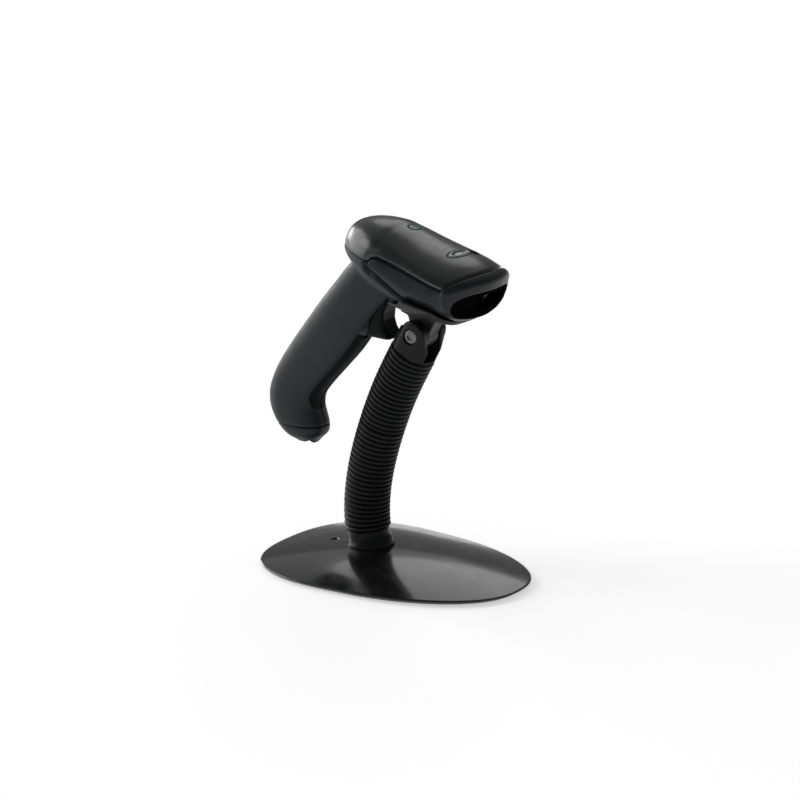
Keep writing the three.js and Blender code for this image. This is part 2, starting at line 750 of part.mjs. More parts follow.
// ---------------------------------------------------------------- lower housing, split into right and left halves
const SCREWS = [
  [-36.5, 180.5, 15.2],
  [-59.5, 154.5, 15.4],
  [-86.5, 113.0, 14.5],
];
{
  let lower = headOuter
    .subtract(headInner)
    .intersect(below(-0.15))
    .intersect(bowed(-80, SPLIT_U, SPLIT_BOW))
    .intersect(chinCut(0.5))
    .subtract(profileHead(ARM_GAP, -60, 60));
  let shell = gripOuter.subtract(gripInner).subtract(headInner).intersect(below(-0.15));
  shell = shell.intersect(box(-BIG, BIG, -BIG, BIG, BUTT_Z + 0.15, 400));
  lower = lower.add(shell).subtract(gripInner.intersect(below(-4)));
  const bosses = SCREWS.map(([x, z]) => solid(rod([x, -30, z], [x, 30, z], 4.3, 12)));
  bosses.push(solid(rod([TPIVOT[0], -30, TPIVOT[1]], [TPIVOT[0], -9.3, TPIVOT[1]], 3.2, 12)));
  bosses.push(solid(rod([TPIVOT[0], 9.3, TPIVOT[1]], [TPIVOT[0], 30, TPIVOT[1]], 3.2, 12)));
  for (const b of bosses) lower = lower.add(b.intersect(gripOuter).intersect(below(-4)));
  // finger opening
  lower = lower.subtract(
    solid(
      profileXZ(
        [
          [-30, 148.9],
          [8, 148.9],
          [8, 176.8],
          [-3.8, 176.8],
          [-3.8, 187],
          [-16, 187],
          [-30, 172],
        ],
        -TRIG_HALF - 0.4,
        TRIG_HALF + 0.4,
      ),
    ),
  );
  lower = lower.subtract(
    solid(rod([TPIVOT[0], -12.9, TPIVOT[1]], [TPIVOT[0], 12.9, TPIVOT[1]], 1.5, 12)),
  );
  for (const [x, z, hw] of SCREWS) {
    const f = hw - 2.6;
    lower = lower.subtract(solid(rod([x, f - 2.1, z], [x, 40, z], 3.1, 14)));
    lower = lower.subtract(solid(rod([x, -9.5, z], [x, 40, z], 1.5, 10)));
  }
  const right = lower.intersect(box(-BIG, BIG, -BIG, -0.15, -BIG, 400));
  const left = lower.intersect(box(-BIG, BIG, 0.15, BIG, -BIG, 400));
  put("scanner", "right_housing", biggest(right), M.shell);
  put("scanner", "left_housing", biggest(left), M.shell);
  SCREWS.forEach(([x, z, hw], i) => {
    put("scanner", `housing_screw_${i + 1}`, screw([x, hw - 2.6, z], [x, -9.0, z], 2.8, 1.8, 1.2, 1.3), M.steel);
  });
  let cap = gripOuter.intersect(box(-BIG, BIG, -BIG, BIG, 0, BUTT_Z - 0.15)).subtract(gripInner);
  cap = cap.subtract(box(-78.6, -66.4, -7.0, 7.0, 60, 80));
  put("scanner", "butt_cap", biggest(cap), M.shell);
  const jack = box(-78.2, -66.8, -6.6, 6.6, 75.6, 91).subtract(box(-76.2, -68.8, -5.9, 5.9, 60, 87.4));
  put("scanner", "jack_socket", jack, M.dark);
}

// ---------------------------------------------------------------- inside the head
{
  let chassis = box(3, 38, -20, 20, -13.6, -12.2, true).add(box(-8, 4, -14.5, 14.5, -13.0, -12.0, true));
  for (const [u, v] of [
    [5, 18],
    [5, -18],
    [35, 18],
    [35, -18],
  ])
    chassis = chassis.add(box(u - 2, u + 2, v - 2, v + 2, -12.6, 4.7, true));
  for (const [u, v] of [
    [14, 12],
    [14, -12],
    [32, 12],
    [32, -12],
  ])
    chassis = chassis.add(box(u - 1.5, u + 1.5, v - 1.5, v + 1.5, -16.4, -13.2, true));
  put("scanner", "engine_chassis", chassis, M.dark);
  put("scanner", "main_board", box(-14, 39, -18.6, 18.6, 5.0, 6.6, true), M.board);
  const beeper = new THREE.CylinderGeometry(6, 6, 4.4, 20);
  beeper.rotateX(Math.PI / 2);
  beeper.translate(12, 6, 2.5);
  put("scanner", "beeper", toHead(beeper), M.dark);
  const led = new THREE.BoxGeometry(4, 4, 2.4);
  led.translate(35, 4, 8.1);
  put("scanner", "indicator_led", toHead(led), M.lens);
  const laser = new THREE.CylinderGeometry(3.6, 3.6, 13, 18);
  laser.translate(26, 10.5, -8.2);
  put("scanner", "laser_module", toHead(laser), M.brass);
  const bowl = [];
  for (let k = 0; k <= 8; k++) {
    const v = -15 + (30 * k) / 8;
    bowl.push(new THREE.Vector2(-4 + 7 * (v / 15) ** 2, v));
  }
  for (let k = 8; k >= 0; k--) {
    const v = -15 + (30 * k) / 8;
    bowl.push(new THREE.Vector2(-5.8 + 7 * (v / 15) ** 2, v));
  }
  const collector = new THREE.ExtrudeGeometry(new THREE.Shape(bowl), { depth: 13, bevelEnabled: false });
  collector.translate(0, 0, -11.6);
  put("scanner", "collector_mirror", toHead(collector), M.mirror);
  put("scanner", "photodiode", box(12, 13.6, -3.4, 3.4, -11.9, -6.0, true), M.dark);
  // scan mirror on its vertical shaft, turned to throw the beam forward
  const plate = new THREE.BoxGeometry(1.4, 10, 7.6);
  plate.rotateZ(-Math.PI / 4);
  plate.translate(26, -5, -6.2);
  const shaft = new THREE.CylinderGeometry(1.1, 1.1, 2.4, 12);
  shaft.rotateX(Math.PI / 2);
  shaft.translate(26, -5, -10.6);
  put("mirror", "scan_mirror", solid(toHead(plate)).add(solid(toHead(shaft))), M.mirror);
}

// ---------------------------------------------------------------- cradle
{
  const hug = skin(-3.4).subtract(skin(-0.5));
  const plan = profileHead(
    [
      [12, -40],
      [14, -20.5],
      [23, -18.6],
      [27, -14.0],
      [47, -14.0],
      [52, -17.4],
      [56, -20.6],
      [56, -40],
    ],
    -60,
    60,
  );
  let cup = hug.intersect(plan).intersect(bowed(-80, 58));
  const knuckle = solid(rod([PX, -5.6, PZ], [PX, 5.6, PZ], 8.6, 20));
  const stem = solid(
    profileXZ(
      [
        [PX - 5.0, PZ + 3.0],
        [PX + 8.4, PZ + 1.0],
        [PX + 16, 171.0],
        [PX + 24, 177.0],
        [PX + 14, 190],
        [3.4, 190],
        [4.0, 169.4],
        [9.4, 167.6],
      ],
      -5.6,
      5.6,
    ),
  ).subtract(skin(-0.5));
  cup = cup.add(knuckle).add(stem);
  cup = cup.subtract(solid(rod([PX, -20, PZ], [PX, 20, PZ], 2.7, 14)));
  put("cradle", "cradle_cup", biggest(cup), M.bezel);
}

export default root;
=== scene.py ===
import math

import bmesh
import bpy
import numpy as np
from mathutils import Matrix, Vector


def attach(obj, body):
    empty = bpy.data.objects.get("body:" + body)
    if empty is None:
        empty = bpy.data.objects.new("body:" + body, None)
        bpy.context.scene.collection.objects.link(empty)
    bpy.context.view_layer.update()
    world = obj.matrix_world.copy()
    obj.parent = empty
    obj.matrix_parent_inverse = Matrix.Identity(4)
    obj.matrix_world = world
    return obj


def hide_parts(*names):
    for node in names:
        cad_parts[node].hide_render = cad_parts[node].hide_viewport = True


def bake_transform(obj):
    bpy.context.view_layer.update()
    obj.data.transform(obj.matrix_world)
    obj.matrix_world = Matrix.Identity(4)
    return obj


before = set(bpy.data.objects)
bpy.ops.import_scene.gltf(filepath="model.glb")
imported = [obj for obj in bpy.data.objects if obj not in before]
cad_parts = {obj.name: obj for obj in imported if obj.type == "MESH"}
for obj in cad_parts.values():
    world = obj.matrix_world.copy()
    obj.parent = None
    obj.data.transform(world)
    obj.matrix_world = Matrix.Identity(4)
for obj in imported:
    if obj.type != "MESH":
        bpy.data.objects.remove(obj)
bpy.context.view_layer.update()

# ------------------------------------------------------------------ camera
SC = bpy.context.scene
AZ, EL, DIST, AIM = math.radians(35.0), math.radians(15.5), 1.5, Vector((-0.0002, 0, 0.1108))
back = Vector((math.sin(AZ) * math.cos(EL), -math.cos(AZ) * math.cos(EL), math.sin(EL)))
cam_data = bpy.data.cameras.new("camera")
cam_data.lens, cam_data.sensor_width, cam_data.clip_end = 108.0, 36.0, 20.0
cam = bpy.data.objects.new("camera", cam_data)
cam.location = AIM + back * DIST
cam.rotation_euler = (-back).to_track_quat("-Z", "Y").to_euler()
SC.collection.objects.link(cam)
SC.camera = cam

# ------------------------------------------------------------------ dimensions, millimetres, as the CAD source has them
PITCH = math.radians(11)
CP, SP = math.cos(PITCH), math.sin(PITCH)
HEAD_Z = 203.0
WALL = 2.2
HEAD = np.array([
    [-37.6, 0.6, 0.4, 0.4, 2.2, 2.2],
    [-36.2, 8.4, 8.4, 4.2, 2.2, 2.2],
    [-32.6, 15.2, 14.2, 7.2, 2.2, 2.2],
    [-25.0, 22.2, 18.8, 10.6, 2.2, 2.2],
    [-14.0, 27.8, 20.8, 14.6, 2.2, 2.5],
    [0.0, 30.8, 20.0, 19.4, 2.2, 3.4],
    [20.0, 32.4, 17.0, 21.2, 2.2, 4.0],
    [40.0, 33.8, 14.8, 21.6, 2.15, 3.6],
    [54.0, 34.6, 12.8, 21.6, 2.1, 3.0],
    [64.0, 34.8, 9.8, 21.0, 2.0, 2.7],
    [76.0, 34.4, 5.0, 20.0, 2.0, 2.6],
])
SPLIT_U, SPLIT_BOW, NOSE_U, BOW = 62.4, 9.4, 69.6, 11.2
GRIP = np.array([
    [-27, 203, 9, 190, 14.5],
    [-37.3, 192.8, -1, 176, 15.4],
    [-46.0, 182.4, -12, 163, 15.8],
    [-56.0, 170.8, -22.5, 149.5, 15.8],
    [-66.4, 157.7, -32, 137, 15.6],
    [-77.2, 143.8, -43.5, 124.5, 15.2],
    [-88.0, 129.0, -54.0, 113.2, 14.8],
    [-95.8, 116.4, -60.6, 104.8, 14.6],
    [-99.8, 104.2, -62.2, 97.6, 14.5],
    [-98.8, 93.2, -60.4, 90.8, 14.4],
    [-93.4, 83.8, -58.6, 84.6, 13.8],
    [-86.0, 77.4, -59.4, 79.2, 12.2],
    [-79.0, 74.2, -63.4, 75.0, 8.6],
])
BUTT_Z = 84.5
NECK = [(-22.6, 12.0), (-24.9, 22.0), (-25.9, 34.0), (-24.8, 50.0), (-21.8, 66.0), (-17.0, 83.0),
        (-11.0, 100.0), (-3.8, 117.0), (3.8, 132.0), (9.6, 142.6)]
NECK_R = 14.9
LINKS, NECK_START = 7, 11.6
PX, PZ = 16.6, 156.4
EAR_R = 9.6
BASE_A, BASE_B, BASE_EGG, BASE_N, BASE_RIM, BASE_DOME = 89.6, 63.6, -0.21, 2.45, 3.4, 9.2
TP = (-8.6, 180.2)
TRIG_HALF = 8.8

# ------------------------------------------------------------------ implicit shapes
def hermite(rows, x):
    """The rows' cubic with finite-difference tangents, at x."""
    xs, n = rows[:, 0], len(rows)
    x = np.clip(x, xs[0], xs[-1])
    i = np.clip(np.searchsorted(xs, x, side="right") - 1, 0, n - 2)
    m = np.empty_like(rows)
    m[0] = (rows[1] - rows[0]) / (xs[1] - xs[0])
    m[-1] = (rows[-1] - rows[-2]) / (xs[-1] - xs[-2])
    m[1:-1] = (rows[2:] - rows[:-2]) / (xs[2:] - xs[:-2])[:, None]
    h = (xs[i + 1] - xs[i])[:, None]
    t = ((x - xs[i]) / h[:, 0])[:, None]
    t2, t3 = t * t, t * t * t
    return (2*t3 - 3*t2 + 1) * rows[i] + (t3 - 2*t2 + t) * h * m[i] + (-2*t3 + 3*t2) * rows[i+1] + (t3 - t2) * h * m[i+1]


HU = np.linspace(-37.6, 76.0, 900)
HT = hermite(HEAD, HU)
# the rounded back end follows a true ellipse in plan and a fuller curve in height
_t = np.clip((HU + 37.6) / 37.6, 0, 1)
_k = np.clip((HU + 8) / 8, 0, 1); _k = _k * _k * (3 - 2 * _k)
HT[:, 1] = HT[:, 1] * _k + (1 - _k) * (30.8 + 0.08 * HU) * np.sqrt(np.clip(1 - (1 - _t) ** 2, 0, 1))
HT[:, 2] = HT[:, 2] * _k + (1 - _k) * 21.0 * np.clip(1 - (1 - _t) ** 2.6, 0, 1) ** (1 / 2.6)
HT[:, 3] = HT[:, 3] * _k + (1 - _k) * HT[:, 3]
HT[:, 1:4] = np.maximum(HT[:, 1:4], 0.05)


_u = np.concatenate([-37.6 + 25.6 * np.linspace(0, 1, 20) ** 2, [40.0]])
_a, _c, _e = (np.interp(_u, HU, HT[:, k]) for k in (1, 2, 3))
SIDE_VIEW = [(float(a), float(b)) for a, b in zip(_u, _c)] + [(float(a), float(-b)) for a, b in zip(_u[::-1], _e[::-1])]
PLAN_VIEW = [(float(a), float(b)) for a, b in zip(_u, _a)] + [(float(a), float(-b)) for a, b in zip(_u[::-1], _a[::-1])]


def smooth01(t):
    t = np.clip(t, 0, 1)
    return t * t * (3 - 2 * t)


def to_head(P):
    x, z = P[:, 0], P[:, 2] - HEAD_Z
    return np.stack([x * CP - z * SP, P[:, 1], x * SP + z * CP], 1)


def from_head(Q):
    return np.stack([Q[:, 0] * CP + Q[:, 2] * SP, Q[:, 1], HEAD_Z - Q[:, 0] * SP + Q[:, 2] * CP], 1)


def station(Q):
    """The station u a head point belongs to, with the nose's bow in plan taken out."""
    u = Q[:, 0]
    s = u
    for _ in range(3):
        s = u + BOW * smooth01((s - 8) / 50) * (np.minimum(np.abs(Q[:, 1]), 42) / 35) ** 2
    return s


def head_g(P):
    Q = to_head(P)
    s = station(Q)
    b, ht, hb, nt, nb = (np.interp(s, HU, HT[:, k]) for k in (1, 2, 3, 4, 5))
    up = Q[:, 2] >= 0
    n = np.where(up, nt, nb)
    h = np.where(up, ht, hb)
    r = ((np.abs(Q[:, 1]) / b) ** n + (np.abs(Q[:, 2]) / h) ** n) ** (1 / n)
    return (r - 1) + np.clip(-37.6 - s, 0, None) * 0.2


def dist(g, P, e=0.15):
    """First-order distance of a field g."""
    f = g(P)
    grad = np.empty_like(P)
    for k in range(3):
        o = np.zeros(3); o[k] = e
        grad[:, k] = (g(P + o) - g(P - o)) / (2 * e)
    return f / np.maximum(np.linalg.norm(grad, axis=1), 1e-3)


def head_d(P):
    """Distance to the head; behind the back end its side view and plan bound it, because the section shrinks to a point there."""
    Q = to_head(P)
    d = dist(head_g, P)
    m = Q[:, 0] < -22
    if m.any():
        q = Q[m]
        bound = np.maximum(poly(SIDE_VIEW, q[:, 0], q[:, 2]), poly(PLAN_VIEW, q[:, 0], q[:, 1]))
        d[m] = np.maximum(d[m], bound - 7 * smooth01((q[:, 0] + 31) / 9))
    return d


# the grip: for every point of its side view, the section it lies on and how far along that section
GS = np.linspace(0, len(GRIP) - 1, 600)
_rows = np.column_stack([np.arange(len(GRIP)), GRIP])
GT = hermite(_rows, GS)[:, 1:]
_cx, _cz = (GT[:, 0] + GT[:, 2]) / 2, (GT[:, 1] + GT[:, 3]) / 2
_L = np.hypot(GT[:, 2] - GT[:, 0], GT[:, 3] - GT[:, 1]) / 2
_ax, _az = (GT[:, 2] - GT[:, 0]) / 2 / _L, (GT[:, 3] - GT[:, 1]) / 2 / _L
GX, GZ = np.arange(-110, 30.01, 0.7), np.arange(66, 212.01, 0.7)
_gx, _gz = np.meshgrid(GX, GZ, indexing="ij")
_off = -((_gx.ravel()[:, None] - _cx) * _az - (_gz.ravel()[:, None] - _cz) * _ax)
_neg = _off < 0
_hit = _neg[:, 1:] != _neg[:, :-1]
_proj = np.abs((_gx.ravel()[:, None] - _cx) * _ax + (_gz.ravel()[:, None] - _cz) * _az) / _L
_score = np.where(_hit, _proj[:, 1:], 1e9)
_best = _score.argmin(1)
_has = _score.min(1) < 1e8
_a = _off[np.arange(len(_off)), _best]; _b = _off[np.arange(len(_off)), _best + 1]
_f = np.where(_has, _a / (_a - _b + 1e-12), 0)
_end = np.abs(_off[:, -1]) < np.abs(_off[:, 0])
_s = np.where(_has, _best + _f, np.where(_end, len(GS) - 1, 0))
_si = np.clip(_s, 0, len(GS) - 1.001).astype(int)
_sf = _s - _si
_lerp = lambda a: a[_si] * (1 - _sf) + a[_si + 1] * _sf
_q = ((_gx.ravel() - _lerp(_cx)) * _lerp(_ax) + (_gz.ravel() - _lerp(_cz)) * _lerp(_az)) / _lerp(_L)
_over = np.where(_has, 0, np.minimum(np.abs(_off[:, -1]), np.abs(_off[:, 0])))
MAP_Q = _q.reshape(_gx.shape); MAP_W = _lerp(GT[:, 4]).reshape(_gx.shape); MAP_L = _lerp(_L).reshape(_gx.shape)
MAP_O = _over.reshape(_gx.shape)
del _off, _neg, _hit, _proj, _score


def bilinear(m, x, z):
    i = np.clip((x - GX[0]) / 0.7, 0, len(GX) - 1.001); k = np.clip((z - GZ[0]) / 0.7, 0, len(GZ) - 1.001)
    a, b = i.astype(int), k.astype(int)
    f, h = i - a, k - b
    return (m[a, b] * (1 - f) + m[a + 1, b] * f) * (1 - h) + (m[a, b + 1] * (1 - f) + m[a + 1, b + 1] * f) * h


def grip_g(P):
    q, w = bilinear(MAP_Q, P[:, 0], P[:, 2]), bilinear(MAP_W, P[:, 0], P[:, 2])
    o = bilinear(MAP_O, P[:, 0], P[:, 2])
    n = 2.35
    r = (np.abs(q) ** n + (np.abs(P[:, 1]) / w) ** n) ** (1 / n)
    return (r - 1) + o * 0.12


def grip_d(P):
    return dist(grip_g, P)


def smax(a, b, k=0.5):
    h = np.clip(0.5 - 0.5 * (b - a) / k, 0, 1)
    return b * (1 - h) + a * h + k * h * (1 - h)


def smin(a, b, k=0.5):
    return -smax(-a, -b, k)


def poly(points, x, z):
    """Signed distance to a polygon in a plane."""
    d = np.full(x.shape, 1e9)
    inside = np.zeros(x.shape, bool)
    n = len(points)
    for i in range(n):
        (ax, az), (bx, bz) = points[i], points[(i + 1) % n]
        ex, ez = bx - ax, bz - az
        t = np.clip(((x - ax) * ex + (z - az) * ez) / (ex * ex + ez * ez), 0, 1)
        d = np.minimum(d, (x - ax - t * ex) ** 2 + (z - az - t * ez) ** 2)
        if az != bz:
            inside ^= ((az > z) != (bz > z)) & (x < (bx - ax) * (z - az) / (bz - az) + ax)
    d = np.sqrt(d)
    return np.where(inside, -d, d)


def round_poly(points, r, n=5):
    """A polygon with its corners rounded to radius r."""
    out = []
    m = len(points)
    for i in range(m):
        p0, p1, p2 = (np.array(points[(i + k - 1) % m], float) for k in range(3))
        a, b = p0 - p1, p2 - p1
        la, lb = np.linalg.norm(a), np.linalg.norm(b)
        a, b = a / la, b / lb
        ang = math.acos(np.clip(a @ b, -1, 1))
        t = min(r / max(math.tan(ang / 2), 1e-3), la * 0.45, lb * 0.45)
        s, e = p1 + a * t, p1 + b * t
        for k in range(n + 1):
            f = k / n
            out.append(tuple((1 - f) ** 2 * s + 2 * f * (1 - f) * p1 + f * f * e))
    return out


def cyl_y(P, x, z, r, y0, y1, k=0.3):
    return smax(np.hypot(P[:, 0] - x, P[:, 2] - z) - r, np.maximum(y0 - P[:, 1], P[:, 1] - y1), k)


def hexa(a, b, r):
    """Signed distance to a hexagon with corner radius r."""
    a, b = np.abs(a), np.abs(b)
    return np.maximum(a * 0.8660254 + b * 0.5, b) - r * 0.8660254


# ------------------------------------------------------------------ meshing
def mesh_of(f, lo, hi, h, steps=3, band=1.9):
    """Surface nets on the field f, evaluated in a narrow band, then pulled onto the surface."""
    lo = np.array(lo, float)
    B = 4
    n = (np.ceil((np.array(hi, float) - lo) / h / B).astype(int) + 1) * B + 1
    cn = (n - 1) // B + 1
    axes = [lo[k] + h * B * np.arange(cn[k]) for k in range(3)]
    C = np.stack(np.meshgrid(*axes, indexing="ij"), -1).reshape(-1, 3)
    cv = f(C).reshape(cn)
    near = np.abs(cv) < h * B * band
    cell = np.zeros(tuple(cn - 1), bool)
    sgn = cv < 0
    lo_s = np.ones(tuple(cn - 1), bool); hi_s = np.zeros(tuple(cn - 1), bool)
    for a in (0, 1):
        for b in (0, 1):
            for c in (0, 1):
                sl = (slice(a, cn[0] - 1 + a), slice(b, cn[1] - 1 + b), slice(c, cn[2] - 1 + c))
                cell |= near[sl]; lo_s &= sgn[sl]; hi_s |= sgn[sl]
    cell |= lo_s != hi_s
    V = np.empty(tuple(n), np.float32)
    fill = np.repeat(np.repeat(np.repeat(cv[:-1, :-1, :-1], B, 0), B, 1), B, 2)
    V[:-1, :-1, :-1] = fill
    V[-1] = 9; V[:, -1] = 9; V[:, :, -1] = 9
    need = np.zeros(tuple(n), bool)
    m = np.repeat(np.repeat(np.repeat(cell, B, 0), B, 1), B, 2)
    for a in (0, 1):
        for b in (0, 1):
            for c in (0, 1):
                need[a:n[0] - 1 + a, b:n[1] - 1 + b, c:n[2] - 1 + c] |= m
    idx = np.argwhere(need)
    for s in range(0, len(idx), 400000):
        q = idx[s:s + 400000]
        V[q[:, 0], q[:, 1], q[:, 2]] = f(lo + q * h)
    V[0] = np.maximum(V[0], 1e-3); V[-1] = np.maximum(V[-1], 1e-3)
    V[:, 0] = np.maximum(V[:, 0], 1e-3); V[:, -1] = np.maximum(V[:, -1], 1e-3)
    V[:, :, 0] = np.maximum(V[:, :, 0], 1e-3); V[:, :, -1] = np.maximum(V[:, :, -1], 1e-3)
    I = V < 0
    c8 = [I[a:n[0]-1+a, b:n[1]-1+b, c:n[2]-1+c] for a in (0, 1) for b in (0, 1) for c in (0, 1)]
    any_ = np.logical_or.reduce(c8); all_ = np.logical_and.reduce(c8)
    act = any_ & ~all_
    cells = np.argwhere(act)
    ids = -np.ones(act.shape, np.int64)
    ids[act] = np.arange(len(cells))
    acc = np.zeros((len(cells), 3)); cnt = np.zeros(len(cells))
    i, j, k = cells.T
    corner = {(a, b, c): V[i + a, j + b, k + c].astype(float) for a in (0, 1) for b in (0, 1) for c in (0, 1)}
    for ax in range(3):
        for p in (0, 1):
            for q in (0, 1):
                A = [0, 0, 0]; o = [x for x in range(3) if x != ax]
                A[o[0]], A[o[1]] = p, q
                Bc = list(A); Bc[ax] = 1
                va, vb = corner[tuple(A)], corner[tuple(Bc)]
                cr = (va < 0) != (vb < 0)
                t = np.where(cr, va / np.where(cr, va - vb, 1), 0)
                pos = np.array(A, float)[None] + t[:, None] * (np.array(Bc, float) - np.array(A, float))[None]
                acc += np.where(cr[:, None], pos, 0); cnt += cr
    P = lo + (cells + acc / cnt[:, None]) * h
    quads = []
    for ax in range(3):
        o = [x for x in range(3) if x != ax]
        sl0 = [slice(None)] * 3; sl1 = [slice(None)] * 3
        sl0[ax] = slice(0, n[ax] - 1); sl1[ax] = slice(1, n[ax])
        s0, s1 = I[tuple(sl0)], I[tuple(sl1)]
        e = np.argwhere(s0 != s1)
        e = e[(e[:, o[0]] > 0) & (e[:, o[0]] < n[o[0]] - 1) & (e[:, o[1]] > 0) & (e[:, o[1]] < n[o[1]] - 1)]
        flip = s0[e[:, 0], e[:, 1], e[:, 2]]
        q = []
        for d0, d1 in ((1, 1), (0, 1), (0, 0), (1, 0)):
            c = e.copy(); c[:, o[0]] -= d0; c[:, o[1]] -= d1
            q.append(ids[c[:, 0], c[:, 1], c[:, 2]])
        q = np.stack(q, 1)
        want = flip if ax != 1 else ~flip
        q = np.where(want[:, None], q, q[:, ::-1])
        quads.append(q)
    Q = np.concatenate(quads)
    for _ in range(steps):
        v = f(P)
        grad = np.empty_like(P)
        for a in range(3):
            o = np.zeros(3); o[a] = 0.12
            grad[:, a] = (f(P + o) - f(P - o)) / 0.24
        g2 = np.maximum((grad ** 2).sum(1), 0.15)
        step = grad * (v / g2)[:, None]
        ln = np.linalg.norm(step, axis=1)
        step *= np.minimum(1, 0.4 * h / np.maximum(ln, 1e-9))[:, None]
        P = P - step
    return P, Q


def build(name, P, faces, smooth=True, sharp=None):
    me = bpy.data.meshes.new(name)
    P = np.asarray(P, float) * 0.001
    if isinstance(faces, np.ndarray):
        me.vertices.add(len(P)); me.vertices.foreach_set("co", P.astype(np.float32).ravel())
        k = faces.shape[1]
        me.loops.add(faces.size); me.loops.foreach_set("vertex_index", faces.astype(np.int32).ravel())
        me.polygons.add(len(faces)); me.polygons.foreach_set("loop_start", (np.arange(len(faces)) * k).astype(np.int32))
        me.update(calc_edges=True)
    else:
        me.from_pydata([tuple(p) for p in P], [], faces)
    me.validate()
    me.polygons.foreach_set("use_smooth", [smooth] * len(me.polygons))
    if sharp:
        me.set_sharp_from_angle(angle=math.radians(sharp))
    ob = bpy.data.objects.new(name, me)
    SC.collection.objects.link(ob)
    return ob


def keep_biggest(P, Q):
    """Only the largest connected part, so no crumbs are left."""
    parent = np.arange(len(P))
    a = np.concatenate([Q[:, 0], Q[:, 1], Q[:, 2]]); b = np.concatenate([Q[:, 1], Q[:, 2], Q[:, 3]])
    lab = np.arange(len(P))
    while True:
        new = lab.copy()
        np.minimum.at(new, a, lab[b]); np.minimum.at(new, b, lab[a])
        new = new[new]
        new = new[new]
        if (new == lab).all():
            break
        lab = new
    vals, counts = np.unique(lab, return_counts=True)
    big = vals[counts.argmax()]
    keep = lab == big
    idx = -np.ones(len(P), int); idx[keep] = np.arange(keep.sum())
    return P[keep], idx[Q[keep[Q].all(1)]]


def solid(name, f, lo, hi, h, body, nodes=(), mat=None, steps=3, band=1.9):
    P, Q = mesh_of(f, lo, hi, h * (1.0), steps, band)
    P, Q = keep_biggest(P, Q)
    ob = build(name, P, Q)
    if mat:
        ob.data.materials.append(mat)
    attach(ob, body)
    if nodes:
        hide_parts(*nodes)
    print(name, len(P), "vertices", flush=True)
    return ob


